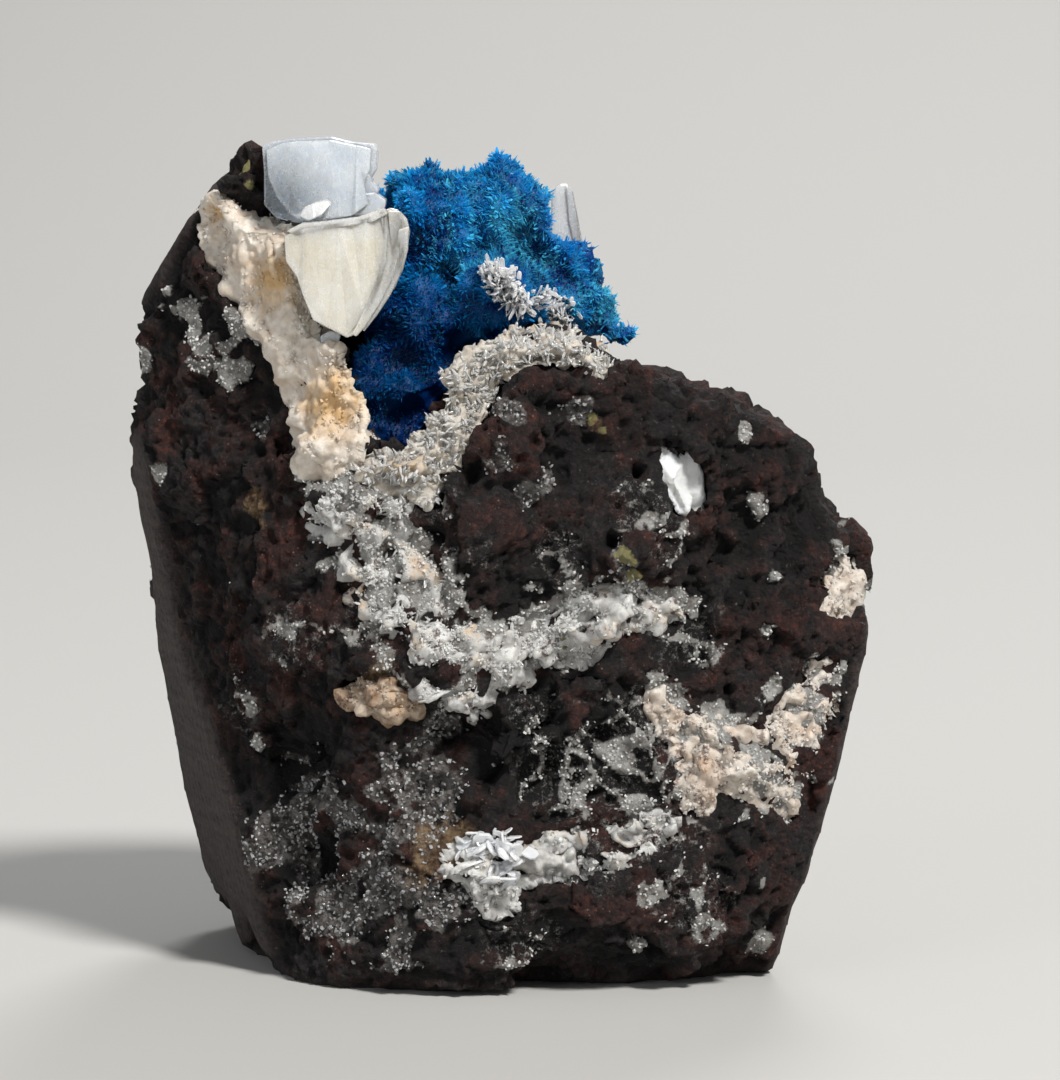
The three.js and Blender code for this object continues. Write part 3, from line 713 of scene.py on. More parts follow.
# %% A scatter made of nodes
def scatter(name, ground, forms, density, length, width, tilt, seed, mask):
    """Real mesh of crystals on `ground`. density is per square mm, length and width are ranges in
    mm, and mask names the attribute of the ground that thins them out."""
    tree = bpy.data.node_groups.new(name, "GeometryNodeTree")
    tree.interface.new_socket(name="Geometry", in_out="INPUT", socket_type="NodeSocketGeometry")
    tree.interface.new_socket(name="Geometry", in_out="OUTPUT", socket_type="NodeSocketGeometry")
    link = tree.links.new

    def node(kind, **settings):
        made = tree.nodes.new(kind)
        for key, value in settings.items():
            setattr(made, key, value)
        return made

    def random_value(low, high, number, kind="FLOAT"):
        made = node("FunctionNodeRandomValue", data_type=kind)
        sockets = [socket for socket in made.inputs if socket.enabled]
        sockets[0].default_value, sockets[1].default_value = low, high
        sockets[-1].default_value = seed + number
        return next(socket for socket in made.outputs if socket.enabled)

    points = node("GeometryNodeDistributePointsOnFaces", distribute_method="RANDOM")
    link(node("NodeGroupInput").outputs[0], points.inputs["Mesh"])
    points.inputs["Seed"].default_value = seed
    thinned = node("GeometryNodeInputNamedAttribute", data_type="FLOAT")
    thinned.inputs["Name"].default_value = mask
    product = node("ShaderNodeMath", operation="MULTIPLY")
    link(thinned.outputs[0], product.inputs[0])
    product.inputs[1].default_value = density / MM**2
    link(product.outputs[0], points.inputs["Density"])

    choices = node("GeometryNodeJoinGeometry")
    for form in forms:
        info = node("GeometryNodeObjectInfo")
        info.inputs["Object"].default_value = form
        info.inputs["As Instance"].default_value = True
        link(info.outputs["Geometry"], choices.inputs[0])

    turn = node("FunctionNodeRotateRotation", rotation_space="LOCAL")
    link(points.outputs["Rotation"], turn.inputs[0])
    any_turn = random_value((-tilt, -tilt, 0), (tilt, tilt, 2 * math.pi), 1, "FLOAT_VECTOR")
    link(any_turn, turn.inputs[1])
    across = random_value(width[0] * MM, width[1] * MM, 2)
    size = node("ShaderNodeCombineXYZ")
    link(across, size.inputs[0])
    link(across, size.inputs[1])
    link(random_value(length[0] * MM, length[1] * MM, 3), size.inputs[2])

    copies = node("GeometryNodeInstanceOnPoints")
    link(points.outputs["Points"], copies.inputs["Points"])
    link(choices.outputs[0], copies.inputs["Instance"])
    copies.inputs["Pick Instance"].default_value = True
    link(random_value(0, len(forms) - 1, 4, "INT"), copies.inputs["Instance Index"])
    link(turn.outputs[0], copies.inputs["Rotation"])
    link(size.outputs[0], copies.inputs["Scale"])

    tint = node("GeometryNodeStoreNamedAttribute", data_type="FLOAT", domain="INSTANCE")
    link(copies.outputs[0], tint.inputs["Geometry"])
    tint.inputs["Name"].default_value = "tint"
    link(random_value(0.0, 1.0, 5), tint.inputs["Value"])
    real = node("GeometryNodeRealizeInstances")
    link(tint.outputs[0], real.inputs[0])
    link(real.outputs[0], node("NodeGroupOutput").inputs[0])

    soil = new_object(name + "_ground", ground.data.copy())
    soil.modifiers.new("scatter", "NODES").node_group = tree
    made = applied(soil, name)
    print(f"{name}: {len(made.data.polygons)} faces")
    return made


# %% [markdown]
# ## Cavansite
#
# Cavansite grows as balls of thin blue blades that all point away from a middle. Up close the mass
# is a velvet of tips with clefts in shade between the balls. The solid balls are kept as a heart
# with painted shade, sunk a little and knobbly, and two scatters bring the surface back out: a velvet
# of fine spikes, and fewer, larger blades. Blades that would point into the rock aren't made. A few
# small balls more fill the corner of the hollow beside the cream crust.

# %% Blue heart
HEART_SINK = 0.6
balls = merged_solid("cavansite_rosettes")
hollow_wall = BVHTree.FromBMesh(balls).ray_cast(camera.location, ray_through((412, 400)))[0]
CORNER_BALLS = [((370, 362), 1.7), ((368, 392), 2.0), ((376, 422), 1.8), ((402, 438), 1.7)]  # dot, mm
for dot, radius_mm in CORNER_BALLS:
    middle = Matrix.Translation(photo_point(dot, hollow_wall.y + 2 * MM))
    bmesh.ops.create_icosphere(balls, subdivisions=3, radius=radius_mm * MM, matrix=middle)
blue = remeshed(balls, "cavansite_heart", 0.23 * MM)
places, normals = corners_and_normals(blue.data)
blue_height = (
    -HEART_SINK
    + 0.8 * (0.5 - cell_distance(places, 2.6 * MM, 11))
    + 0.6 * (0.5 - cell_distance(places, 1.2 * MM, 12))
    + 0.5 * smooth_noise(places, 3.5 * MM, 13)
)
push(blue, blue_height * MM)
set_attribute(blue, "raised", ramp(blue_height, -HEART_SINK - 0.4, -HEART_SINK + 0.5))

# %% Velvet and blades
rock_tree = BVHTree.FromObject(rock, bpy.context.evaluated_depsgraph_get())
places, normals = corners_and_normals(blue.data)
FREE_REACH = 5 * MM
LIFT_OFF = 0.3 * MM
free = [
    rock_tree.ray_cast(Vector(place + normal * LIFT_OFF), Vector(normal), FREE_REACH)[0] is None
    for place, normal in zip(places, normals)
]
set_attribute(blue, "free", free)
print(f"{np.mean(free):.0%} of the blue surface is open")
velvet = scatter("cavansite_velvet", blue, [spike], 35, (0.15, 0.42), (0.06, 0.14), 0.4, 31, "free")
blades = scatter("cavansite_blades", blue, [blade, spike], 8, (0.3, 0.62), (0.1, 0.2), 0.5, 32, "free")

# %% [markdown]
# ## Blue
#
# The blue of cavansite comes from vanadium and hardly changes from blade to blade. What changes is
# the light: tips catch it and clefts swallow it. So the tone follows how raised a place is and how
# near a tip, and two places get the cyan, and one the navy, that the photograph shows.

# %% Cavansite blue
CYAN_MIDDLE = photo_point((498, 242), -6 * MM)
CYAN_END = photo_point((604, 320), -4 * MM)
HOLLOW_MIDDLE = photo_point((410, 395), -8 * MM)


def cavansite_finish(name, painted_shade):
    """Azure, with cyan where the light runs along the blades, and a painted navy shade low in the hollow.
    The second argument darkens it all with painted shade.
    """
    s = Shader(name)
    lit = s.plus(s.times(s.attribute("raised"), 0.6), s.times(s.attribute("tip"), 0.4))
    lit = s.plus(lit, s.times(s.math("SUBTRACT", s.noise(1.6, 3), 0.5), 0.8))
    tone = s.mix(s.between(lit, 0.1, 0.75), rgb(1, 52, 128), rgb(16, 156, 238))
    to_cyan = s.math("MINIMUM", s.distance_to(CYAN_MIDDLE), s.distance_to(CYAN_END))
    near_middle = s.between(to_cyan, 6 * MM, 1 * MM)
    fibres = s.noise(0.9, 4, 0.7, stretch=(1, 1, 0.35))
    cyan = s.plus(s.times(s.attribute("tint"), 0.15), s.plus(fibres, s.times(near_middle, 0.24)))
    tone = s.mix(s.times(s.between(cyan, 0.6, 0.8), 0.7), tone, rgb(78, 198, 230))
    violet = s.between(s.noise(4.2, 2, 0.5), 0.52, 0.62)
    tone = s.mix(s.times(violet, 0.25), tone, rgb(10, 74, 190))
    # painted shade: navy low in the hollow, fading out round one place
    hollow = s.between(s.distance_to(HOLLOW_MIDDLE), 12 * MM, 4 * MM)
    tone = s.mix(s.times(hollow, 0.8), tone, rgb(2, 38, 96))
    # painted shade: the whole blue darkened toward dark navy by the given share, for the heart in the
    # clefts
    s.set("Base Color", s.mix(painted_shade, tone, rgb(1, 22, 60)))
    s.set("Roughness", 0.35)
    s.set("Specular IOR Level", 0.14)
    s.scatter_light(0.25, 0.5, (0.2, 0.6, 1.0))
    s.bump(s.noise(0.2, 4), 0.08)
    return s.material


# the heart wears the blue with painted shade, which stands for the clefts between the balls
dress(blue, cavansite_finish("cavansite_painted_shade", 0.55), "cavansite", "cavansite_rosettes")
blue_finish = cavansite_finish("cavansite_blue", 0.0)
dress(velvet, blue_finish, "cavansite")
dress(blades, blue_finish, "cavansite")

# %% [markdown]
# ## Stilbite
#
# Stilbite grows as a sheaf of thin plates almost side by side, so its broad face is pearly and
# finely grooved and its edges show steps. Each crystal is modelled from a few slabs. A slab starts
# as its outline in picture dots, laid on a plane that may lean back to one side or to the top. It
# is extruded to its thickness, and its edges are bevelled, so that each face takes the light in
# its own way.

# %% Slabs of stilbite
def add_slab(bm, outline, front, thick, lean=(0.0, 0.0), ridges=(), bevel=0.1 * MM):
    """Adds one slab to bm. lean is how fast its face recedes to the right and to the top. Each
    ridge is an upright line at a picture x where the face stands proud by some mm."""
    middle = np.mean(outline, axis=0)
    corners = []
    for x, y in outline:
        recess = (lean[0] * (x - middle[0]) + lean[1] * (middle[1] - y)) * DOT
        corners.append(bm.verts.new(photo_point((x, y), front + recess)))
    faces = [bm.faces.new(corners)]
    for ridge_x, proud_mm in ridges:
        parts = list(dict.fromkeys(part for face in faces for part in (*face.verts, *face.edges, face)))
        at = photo_point((ridge_x, middle[1]), front)
        cut = bmesh.ops.bisect_plane(bm, geom=parts, plane_co=at, plane_no=(1, 0, 0), dist=1e-6)
        faces = [part for part in cut["geom"] if isinstance(part, bmesh.types.BMFace)]
        line = [part for part in cut["geom_cut"] if isinstance(part, bmesh.types.BMVert)]
        bmesh.ops.translate(bm, vec=(0, -proud_mm * MM, 0), verts=line)
    grown = bmesh.ops.extrude_face_region(bm, geom=faces)["geom"]
    back = [part for part in grown if isinstance(part, bmesh.types.BMVert)]
    bmesh.ops.translate(bm, vec=(0, thick, 0), verts=back)
    new_faces = dict.fromkeys(face for corner in back for face in corner.link_faces)
    whole_slab = list(dict.fromkeys([*faces, *new_faces]))
    bmesh.ops.recalc_face_normals(bm, faces=whole_slab)
    edges = dict.fromkeys(edge for face in whole_slab for edge in face.edges)
    sharp = [edge for edge in edges if edge.calc_face_angle(0) > 0.5]
    bmesh.ops.bevel(bm, geom=sharp, offset=bevel, segments=2, profile=0.5, affect="EDGES", material=-1)


def slabs(name, rows):
    """One object of several slabs, given as rows of outline, depth, thickness, lean and ridges."""
    bm = bmesh.new()
    for row in rows:
        add_slab(bm, *row)
    open_edges = sum(not edge.is_manifold for edge in bm.edges)
    print(f"{name}: {len(bm.faces)} faces, {open_edges} open edges")
    return new_object(name, finished_mesh(bm, name))


# %% [markdown]
# ## The lower crystal
#
# It is a fan of plates that narrows to a point below. Its broad face looks at the camera, thinner
# plates step back on its right, and a narrow ledge tops it. Each outline follows the photograph.

# %% Lower crystal
stilbite_low, stilbite_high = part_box("stilbite_crystals")
LOWER_FACE = [
    (284, 236), (300, 229), (326, 225), (352, 222), (374, 217), (386, 212), (388, 232), (386, 262),
    (378, 290), (366, 314), (356, 334), (347, 338), (338, 333), (326, 327), (313, 320), (304, 298),
    (297, 277), (286, 262),
]
LOWER_LEDGE = [
    (286, 231), (302, 223), (328, 221), (358, 217), (384, 208), (388, 214), (372, 222), (330, 229),
    (296, 236),
]
RIGHT_WING = [
    (380, 212), (390, 208), (399, 210), (402, 224), (400, 252), (392, 280), (380, 304), (366, 326),
    (356, 337), (352, 334), (366, 306), (378, 276), (384, 244),
]
WING_BACK = [
    (388, 211), (400, 211), (407, 219), (410, 231), (407, 254), (400, 276), (390, 296), (378, 314),
    (364, 332), (360, 326), (378, 296), (392, 260),
]
RIGHT_STEP = [(398, 230), (409, 226), (408, 250), (403, 270), (394, 290), (387, 294), (394, 264)]
LOWER_BODY = [
    (290, 234), (320, 224), (360, 218), (394, 212), (404, 222), (404, 256), (392, 286), (374, 312),
    (356, 332), (338, 330), (316, 316), (306, 292), (294, 264),
]
front = stilbite_low.y + 0.2 * MM
lower_sheaf = slabs(
    "stilbite_lower_sheaf",
    [
        (LOWER_FACE, front + 0.5 * MM, 1.3 * MM, (0.1, 0.15), [(304, 0.25), (338, 0.15), (366, 0.35)]),
        (LOWER_LEDGE, front + 0.9 * MM, 1.6 * MM, (0.0, 0.5)),
        (RIGHT_WING, front + 0.8 * MM, 0.7 * MM, (0.7, 0.1), [(391, -0.1)]),
        (WING_BACK, front + 1.4 * MM, 0.7 * MM, (0.8, 0.0)),
        (RIGHT_STEP, front + 1.9 * MM, 1.0 * MM, (0.4, -0.1)),
        (LOWER_BODY, front + 1.7 * MM, 2.4 * MM, (0.05, 0.05)),
    ],
)

# %% [markdown]
# ## The upper crystal, the small tip and the back blade
#
# The upper crystal is blunter and stands farther back, with two small steps on its right. A small
# bright tip lies between the two, a grey shard under them, and one blade stands behind the blue.

# %% Upper crystal
UPPER_FACE = [
    (266, 150), (282, 143), (300, 141), (330, 140), (356, 145), (371, 149), (370, 170), (364, 184),
    (368, 204), (352, 216), (322, 220), (300, 221), (290, 214), (276, 196), (268, 176),
]
UPPER_BODY = [
    (262, 146), (274, 141), (298, 138), (332, 137), (350, 142), (374, 144), (377, 149), (376, 169),
    (370, 180), (372, 206), (362, 217), (326, 223), (298, 223), (276, 218), (264, 205), (264, 172),
]
UPPER_STEPS = [
    [(360, 176), (370, 174), (372, 182), (379, 190), (376, 200), (362, 204)],
    [(352, 196), (374, 192), (386, 200), (385, 208), (368, 214), (354, 216)],
]
SMALL_TIP = [(299, 216), (304, 207), (316, 202), (327, 200), (331, 204), (322, 215), (308, 221)]
GREY_SHARD = [(320, 336), (330, 331), (341, 333), (338, 346), (329, 358), (322, 350)]
UPPER_DEPTH = 5.2 * MM
upper_front = stilbite_high.y - UPPER_DEPTH
upper_sheaf = slabs(
    "stilbite_upper_sheaf",
    [
        (UPPER_FACE, upper_front, 1.6 * MM, (0.1, 0.35), [(290, 0.35), (330, 0.05), (356, 0.4)]),
        (UPPER_BODY, upper_front + 1.3 * MM, 3.8 * MM, (0.0, 0.1)),
        (UPPER_STEPS[0], upper_front + 0.6 * MM, 2.6 * MM, (0.5, 0.0)),
        (UPPER_STEPS[1], upper_front + 0.2 * MM, 2.4 * MM, (0.4, 0.2)),
        (GREY_SHARD, stilbite_low.y + 1.2 * MM, 1.0 * MM, (0.3, 0.0)),
    ],
)
small_tip = slabs(
    "stilbite_small_tip", [(SMALL_TIP, stilbite_low.y + 1.6 * MM, 1.4 * MM, (0.2, 0.5), [(314, 0.35)])]
)

# %% Back blade
BACK_BLADE = [
    (552, 190), (560, 184), (567, 184), (573, 192), (579, 222), (585, 254), (577, 258), (562, 262),
    (550, 240),
]
BLADE_SIDE = [(566, 186), (572, 190), (578, 220), (584, 252), (576, 256), (569, 222)]
blade_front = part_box("stilbite_back_blade")[0].y
back_blade = slabs(
    "stilbite_blade",
    [
        (BACK_BLADE, blade_front + 0.5 * MM, 1.1 * MM, (0.1, 0.0)),
        (BLADE_SIDE, blade_front + 0.45 * MM, 0.9 * MM, (0.4, 0.0)),
    ],
)

# %% [markdown]
# ## Pearl
#
# Light goes a little way into stilbite and comes back milky, and the face has a soft gloss. That
# is subsurface scattering with some transmission and a thin coat. Fine upright noise stands in for
# the grooves, which are far too narrow to model.

# %% Pearl and grooves
CLEAR_CORNER = photo_point((280, 208), upper_front)


def stilbite_finish(name, low, high, clear, clear_corner=0.0):
    """Pearly white. clear is the share of light that passes, and more passes at the clear corner."""
    s = Shader(name)
    grooves = s.noise(0.28, 4, 0.65, stretch=(1, 1, 0.06))
    frost = s.noise(0.5, 5, 0.7)
    clouds = s.plus(s.noise(3.0, 3), s.times(s.math("SUBTRACT", grooves, 0.5), 0.25))
    clouds = s.plus(clouds, s.times(s.math("SUBTRACT", frost, 0.5), 0.1))
    s.set("Base Color", s.mix(s.between(clouds, 0.32, 0.66), low, high))
    s.set("Roughness", s.between(frost, 0.2, 1.4))
    s.scatter_light(0.7, 1.6)
    s.set("Coat Weight", 0.4)
    s.set("Coat Roughness", 0.2)
    corner = s.between(s.distance_to(CLEAR_CORNER), 4.5 * MM, 1 * MM)
    s.set("Transmission Weight", s.plus(clear, s.times(corner, clear_corner)))
    s.set("IOR", 1.5)
    s.bump(s.plus(grooves, s.times(frost, 0.3)), 0.08, 0.35)
    return s.material


cream_pearl = stilbite_finish("stilbite_cream", rgb(224, 218, 202), rgb(241, 238, 229), 0.25)
blue_pearl = stilbite_finish("stilbite_bluish", rgb(206, 215, 224), rgb(229, 235, 240), 0.3, 0.6)
white_pearl = stilbite_finish("stilbite_white", rgb(232, 233, 232), rgb(249, 249, 248), 0.3)
fibre_pearl = stilbite_finish("stilbite_fibres", rgb(238, 239, 239), rgb(252, 252, 252), 0.0)
dress(lower_sheaf, cream_pearl, "stilbite", "stilbite_crystals")
dress(upper_sheaf, blue_pearl, "stilbite")
dress(small_tip, white_pearl, "stilbite")
dress(back_blade, white_pearl, "stilbite", "stilbite_back_blade")

# %% [markdown]
# ## Loose blades
#
# Small sheaves of the same mineral lie on the blue and low on the front. They are few, so each
# blade is placed by code instead of by the scatter, at the feet that picture dots give.

# %% Loose stilbite blades on the blue and low on the front
blue_tree = BVHTree.FromObject(blue, bpy.context.evaluated_depsgraph_get())


def add_fan(bm, tree, dot, count, length_mm, spread, breadth, seed):
    """Adds blades that stand on what the picture dot shows and fan out from there. breadth is how
    broad the broadest blade is, as a share of its length."""
    rng = np.random.default_rng(seed)
    middle, normal = tree.ray_cast(camera.location, ray_through(dot))[:2]
    aim = (normal - look).normalized()
    for _ in range(count):
        foot = middle + Vector(rng.uniform(-0.5, 0.5, 3)) * length_mm * MM
        lean = Euler((*rng.uniform(-spread, spread, 2), rng.uniform(0, math.pi))).to_matrix().to_4x4()
        length = length_mm * MM * rng.uniform(0.5, 1)
        width = length * breadth * rng.uniform(0.5, 1)
        frame_of_blade = Matrix.Translation(foot) @ aim.to_track_quat("Z", "Y").to_matrix().to_4x4() @ lean
        before = len(bm.verts)
        bm.from_mesh(plate.data)
        bm.verts.ensure_lookup_table()
        shape = frame_of_blade @ Matrix.Diagonal((width, width * 0.6, length, 1))
        bmesh.ops.transform(bm, matrix=shape, verts=bm.verts[before:])


# %% Where the fans stand
FANS_ON_BLUE = [  # picture dot, how many blades, length in mm
    ((490, 272), 30, 1.2), ((495, 278), 44, 1.5), ((500, 284), 54, 1.8), ((506, 290), 54, 1.8),
    ((513, 295), 50, 1.6), ((520, 300), 40, 1.3), ((528, 305), 24, 1.0), ((540, 300), 40, 1.4),
    ((548, 303), 54, 1.6), ((556, 307), 54, 1.6), ((563, 312), 44, 1.4), ((568, 319), 30, 1.1),
]
FANS_ON_ROCK = [
    ((472, 842), 10, 1.3), ((484, 856), 11, 1.6), ((498, 842), 11, 1.4), ((508, 858), 11, 1.4),
    ((494, 880), 11, 1.5), ((518, 848), 8, 1.1),
]
fan_rows = [
    # name, what they stand on, spread, breadth, first seed, fans, finish
    ("stilbite_on_blue", blue_tree, 0.45, 0.3, 50, FANS_ON_BLUE, fibre_pearl),
    ("stilbite_loose_blades", rock_tree, 1.3, 0.85, 60, FANS_ON_ROCK, fibre_pearl),
]
for name, tree, spread, breadth, first_seed, fans, finish in fan_rows:
    bm = bmesh.new()
    for i, (dot, count, length_mm) in enumerate(fans):
        add_fan(bm, tree, dot, count, length_mm, spread, breadth, first_seed + i)
    dress(new_object(name, finished_mesh(bm, name)), finish, "stilbite")

# %% [markdown]
# ## Crusts and veins
#
# Zeolite and chalcedony fill the cracks of the breccia and line the rim of the hollow. Each crust
# has a bed, made from its solid, and a cover of small crystals. The bed's walls swell until they
# close on the rock, its open face is knobbly, and where the noise is low the bed sinks, so that
# rock shows through and the outline is ragged. Loose crystals sprinkle the rock around it.

# %% Beds
BED_VOXEL = 0.16 * MM
OPEN_DIRECTION = Vector((0.1, -0.9, 0.42)).normalized()


def bed(node, knob, relief_mm, worn, seed, grains=1.0, bare=0.85, steps=()):
    """The crust of one solid, with knobs `knob` wide. Low noise takes away up to `worn` mm, grains
    is how grainy it is, bare how free of crystals its smooth places are, and steps are slabs that
    widen the solid."""
    solid = merged_solid(node)
    for step in steps:
        add_slab(solid, *step)
    made = remeshed(solid, node + "_bed", BED_VOXEL)
    here, facing = corners_and_normals(made.data)
    is_open = ramp(facing @ np.array(OPEN_DIRECTION), 0.15, 0.5)
    knobs = 0.5 - cell_distance(here, knob, seed)
    grain_height = 0.12 * smooth_noise(here, 0.45 * MM, seed + 3)
    grain_height += 0.3 * (0.5 - cell_distance(here, 0.6 * MM, seed + 5))
    ragged = min(grains, 1) * (0.34 + 0.5 * smooth_noise(here, 1.3 * MM, seed + 4))
    height = ragged * (1 - is_open) - 0.2 * is_open + relief_mm * knobs + grains * grain_height
    low = smooth_noise(here, 1.9 * MM, seed + 1) + 0.5 * smooth_noise(here, 0.8 * MM, seed + 2)
    wear = ramp(-low, 0.0, 0.45)
    push(made, (height - worn * wear) * MM)
    smooth_places = 1 - ramp(smooth_noise(here, 2.2 * MM, seed + 6), -0.25, 0.1)
    set_attribute(made, "open", is_open * (1 - 0.8 * wear * min(worn, 1)) * (1 - bare * smooth_places))
    return made


# %% A bed for each crust
CREAM_STEP = [
    (268, 240), (284, 240), (292, 262), (304, 290), (322, 330), (338, 352), (328, 372), (306, 340),
    (286, 300), (272, 270),
]
cream_tree = BVHTree.FromBMesh(merged_solid("cream_band"))
step_depth = cream_tree.ray_cast(camera.location, ray_through((286, 310)))[0].y + 0.4 * MM
cream = bed("cream_band", 2.0 * MM, 0.9, 0.2, 31, steps=[(CREAM_STEP, step_depth, 2.5 * MM)])
rim = bed("rim_druse", 0.9 * MM, 0.6, 0.6, 34, bare=0.2)
front_vein = bed("front_vein", 1.4 * MM, 0.8, 0.8, 37)
right_vein = bed("right_vein", 1.1 * MM, 0.7, 0.8, 40)
lower_vein = bed("lower_vein", 1.0 * MM, 0.6, 1.3, 43)
brown_lump = bed("brown_lump", 0.9 * MM, 0.5, 0.5, 46, 1.3)
white_fill = bed("white_amygdule", 1.4 * MM, 0.25, 0.1, 49, 0.3)
edge_fill = bed("edge_amygdule", 0.9 * MM, 0.5, 0.6, 52)

# %% [markdown]
# ## The look of the crusts
#
# Zeolite is white where it is pure. Iron stains it ochre, and crumbs of rock speckle it. One
# function covers all crusts and their grains, because they differ only in their tones, in how
# clear they are, and in where the stains lie.

# %% Crust materials
def crust_finish(name, low, high, stain=None, rough=0.35, clear=0.0, specks=0.0, stained=()):
    """Cloudy from low to high. stain colours broad patches, or the stained places where they are
    given with their reach in mm, and specks of rock colour small ones."""
    s = Shader(name)
    clouds = s.plus(s.noise(1.5, 5, 0.65), s.times(s.attribute("tint"), 0.2))
    tone = s.mix(s.between(clouds, 0.38, 0.66), low, high)
    if stain:
        patches = 0.0 if stained else s.between(s.noise(3.0, 4), 0.54, 0.68)
        for place, reach_mm in stained:
            wander = s.times(s.math("SUBTRACT", s.noise(1.2, 4), 0.5), 4 * MM)
            near = s.between(s.plus(s.distance_to(place), wander), reach_mm * MM, 0.2 * reach_mm * MM)
            patches = s.math("MAXIMUM", patches, near)
        tone = s.mix(s.times(patches, 0.8), tone, stain)
    if specks:
        spots = s.between(s.plus(s.noise(0.7, 5, 0.75), s.times(s.noise(3.6, 2), 0.3)), 0.72, 0.78)
        tone = s.mix(s.times(spots, specks), tone, rgb(72, 36, 28))
    s.set("Base Color", tone)
    s.set("Roughness", rough)
    s.scatter_light(0.0 if clear > 0.3 else 0.4, 0.8)
    s.set("Transmission Weight", clear)
    s.set("IOR", 1.5)
    s.bump(s.noise(0.25, 5, 0.7), 0.12, 0.8)
    return s.material


# %% A tone for each crust
cream_stains = [  # where, and the reach in mm
    (cream_tree.ray_cast(camera.location, ray_through(dot))[0], reach_mm)
    for dot, reach_mm in [((268, 280), 2.6), ((328, 402), 3.0), ((215, 215), 1.2)]
]
# name, low and high tone, stain, roughness, share that is clear, share of specks
cream_tone = crust_finish(
    "cream_chalcedony", rgb(204, 189, 172), rgb(236, 229, 218), rgb(204, 160, 92), stained=cream_stains
)
druse_bed_tone = crust_finish("druse_bed", rgb(168, 158, 145), rgb(221, 215, 205), rgb(186, 157, 118), 0.3)
clear_tone = crust_finish("clear_crystal", rgb(222, 220, 215), rgb(247, 247, 246), None, 0.12, 0.48)
glass_tone = crust_finish("grey_crystal", rgb(150, 148, 148), rgb(210, 210, 210), None, 0.1, 0.4)
vein_tone = crust_finish(
    "vein_zeolite", rgb(162, 160, 158), rgb(222, 222, 218), rgb(182, 152, 116), 0.25, 0.0, 0.85
)
sugar_tone = crust_finish("vein_sugar", rgb(176, 173, 168), rgb(226, 225, 220), None, 0.3)
warm_tone = crust_finish(
    "warm_vein", rgb(188, 174, 160), rgb(226, 220, 211), rgb(186, 150, 118), 0.35, 0.0, 0.7
)
brown_tone = crust_finish(
    "brown_crust", rgb(138, 110, 84), rgb(204, 190, 172), rgb(174, 130, 82), 0.4, 0.0, 0.85
)
milk_tone = crust_finish("milk_zeolite", rgb(214, 216, 216), rgb(236, 238, 238), None, 0.45)

# %% Crusts dressed
dress(cream, cream_tone, "cream_crust", "cream_band")
dress(rim, druse_bed_tone, "clear_druse", "rim_druse")
dress(front_vein, vein_tone, "vein_zeolite", "front_vein")
dress(right_vein, warm_tone, "vein_zeolite", "right_vein")
dress(lower_vein, vein_tone, "vein_zeolite", "lower_vein")
dress(brown_lump, brown_tone, "brown_crust", "brown_lump")
dress(white_fill, milk_tone, "milk_zeolite", "white_amygdule")
dress(edge_fill, warm_tone, "milk_zeolite", "edge_amygdule")

# %% [markdown]
# ## A cover of small crystals
#
# Needles stand on the rim of the hollow, sugary grains on the veins, and a finer strewing on the
# pale patches of the rock. Two tables hold what is scattered and how it is dressed, so that one
# loop can make them all.

# %% Crystals on the crusts and on the rock round them
small_crystals = [
    # name, ground, forms, per square mm, length and width in mm, tilt
    ("rim_needles", rim, [stub, six_sided], 12, (0.2, 0.7), (0.12, 0.3), 0.8),
    ("cream_grains", cream, [stub, grain], 6, (0.08, 0.22), (0.1, 0.25), 0.9),
    ("front_sugar", front_vein, [grain, other_grain], 12, (0.06, 0.2), (0.08, 0.22), 1.0),
    ("front_clear", front_vein, [stub, plate], 3, (0.2, 0.6), (0.1, 0.26), 1.0),
    ("right_sugar", right_vein, [plate, grain], 8, (0.08, 0.25), (0.08, 0.24), 1.0),
    ("lower_sugar", lower_vein, [plate, grain], 7, (0.08, 0.35), (0.1, 0.3), 1.0),
    ("edge_sugar", edge_fill, [grain], 5, (0.08, 0.2), (0.1, 0.25), 0.9),
    ("brown_sugar", brown_lump, [grain, stub], 9, (0.08, 0.25), (0.1, 0.25), 1.0),
    ("white_sugar", rock, [grain, other_grain], 9, (0.05, 0.18), (0.06, 0.2), 1.2),
    ("glassy_sugar", rock, [grain, stub], 6, (0.08, 0.3), (0.08, 0.24), 1.0),
]
crystal_dress = {
    # name: mask, finish, slot
    "rim_needles": ("open", clear_tone, "clear_druse"),
    "cream_grains": ("open", cream_tone, "cream_crust"),
    "front_sugar": ("open", sugar_tone, "vein_zeolite"),
    "front_clear": ("open", clear_tone, "vein_zeolite"),
    "right_sugar": ("open", warm_tone, "vein_zeolite"),
    "lower_sugar": ("open", sugar_tone, "vein_zeolite"),
    "edge_sugar": ("open", warm_tone, "milk_zeolite"),
    "brown_sugar": ("open", brown_tone, "brown_crust"),
    "white_sugar": ("white", sugar_tone, "vein_zeolite"),
    "glassy_sugar": ("glassy", glass_tone, "clear_druse"),
}
for number, (name, ground, forms, density, length, width, tilt) in enumerate(small_crystals):
    mask, finish, slot = crystal_dress[name]
    crystals = scatter(name, ground, forms, density, length, width, tilt, 71 + 10 * number, mask)
    dress(crystals, finish, slot)


# %% [markdown]
# ## Stage and light
#
# A pale floor that curves up behind the block gives an even background. The key light stands high
# on the right, as in the photograph, so that the left face falls into shade.

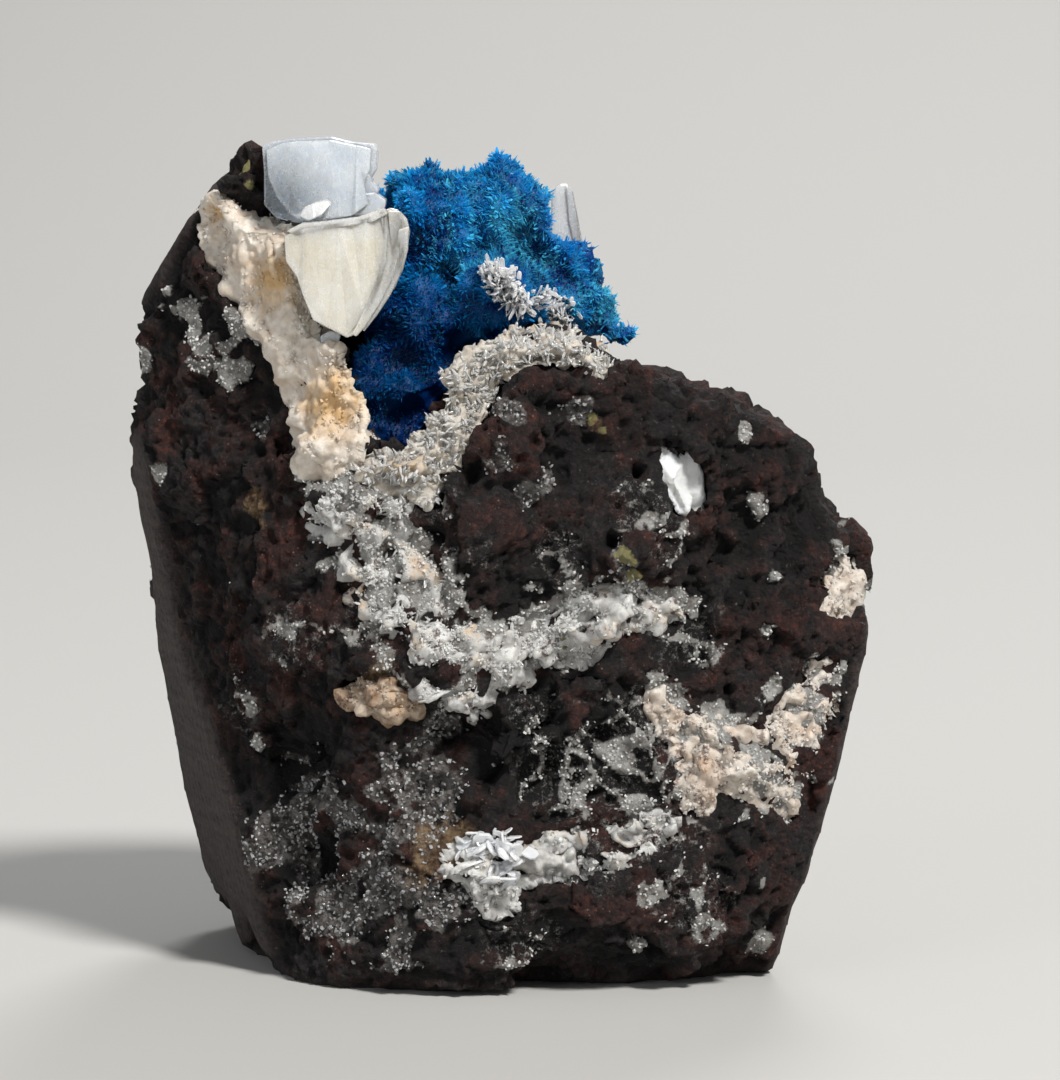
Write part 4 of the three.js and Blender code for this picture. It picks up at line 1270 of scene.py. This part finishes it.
# %% Floor
FLOOR_HALF = 1.0  # metres, like all that follows here
SWEEP_BEVEL = 0.6
bm = bmesh.new()
bmesh.ops.create_grid(bm, x_segments=1, y_segments=1, size=FLOOR_HALF)
back_edge = max(bm.edges, key=lambda edge: min(corner.co.y for corner in edge.verts))
raised = bmesh.ops.extrude_edge_only(bm, edges=[back_edge])["geom"]
raised_corners = [part for part in raised if isinstance(part, bmesh.types.BMVert)]
bmesh.ops.translate(bm, vec=(0, 0, FLOOR_HALF), verts=raised_corners)
bmesh.ops.bevel(
    bm, geom=[back_edge], offset=SWEEP_BEVEL, segments=24, profile=0.5, affect="EDGES", material=-1
)
floor = new_object("floor", finished_mesh(bm, "floor"))
floor.data.shade_smooth()
floor_finish = Shader("pale_floor")
floor_finish.set("Base Color", rgb(184, 183, 180))
floor_finish.set("Roughness", 0.8)
floor.data.materials.append(floor_finish.material)
floor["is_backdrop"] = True


# %% Lights and sky
def area_light(name, place, size, power, tint=(1, 1, 1)):
    data = bpy.data.lights.new(name, "AREA")
    data.shape = "DISK"
    data.size = size
    data.energy = power
    data.color = tint
    lamp = bpy.data.objects.new(name, data)
    lamp.location = place
    lamp.rotation_euler = (CAMERA_TARGET - Vector(place)).to_track_quat("-Z", "Y").to_euler()
    bpy.context.scene.collection.objects.link(lamp)
    print(f"{name} light of {power} W")


# name, place in metres, size in metres, watts, tint
area_light("key", (0.4, -0.55, 0.85), 0.2, 14, (1, 0.98, 0.95))
area_light("fill", (-0.6, -0.6, 0.3), 0.5, 1.2, (0.93, 0.96, 1))
area_light("rim", (0.15, 0.6, 0.6), 0.3, 3)
world = bpy.data.worlds.new("studio")
world.use_nodes = True
world.node_tree.nodes["Background"].inputs["Color"].default_value = (0.85, 0.87, 0.9, 1)
world.node_tree.nodes["Background"].inputs["Strength"].default_value = 0.25
bpy.context.scene.world = world
bpy.context.scene.view_settings.view_transform = "Standard"

# %% [markdown]
# ## Last measures
#
# The number of triangles and the size before and after show whether the dressed block still
# stands for its solids. Both are printed.

# %% Sizes and table
triangles = {
    obj.name: sum(len(face.vertices) - 2 for face in obj.data.polygons)
    for obj in bpy.context.scene.objects
    if obj.type == "MESH" and obj.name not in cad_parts
}
print(f"{sum(triangles.values())} triangles, most in {max(triangles, key=triangles.get)}")
visual_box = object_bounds()
for label, box in {"cad": cad_box, "visual": visual_box}.items():
    print(label, [[round(value / MM, 2) for value in corner] for corner in box])
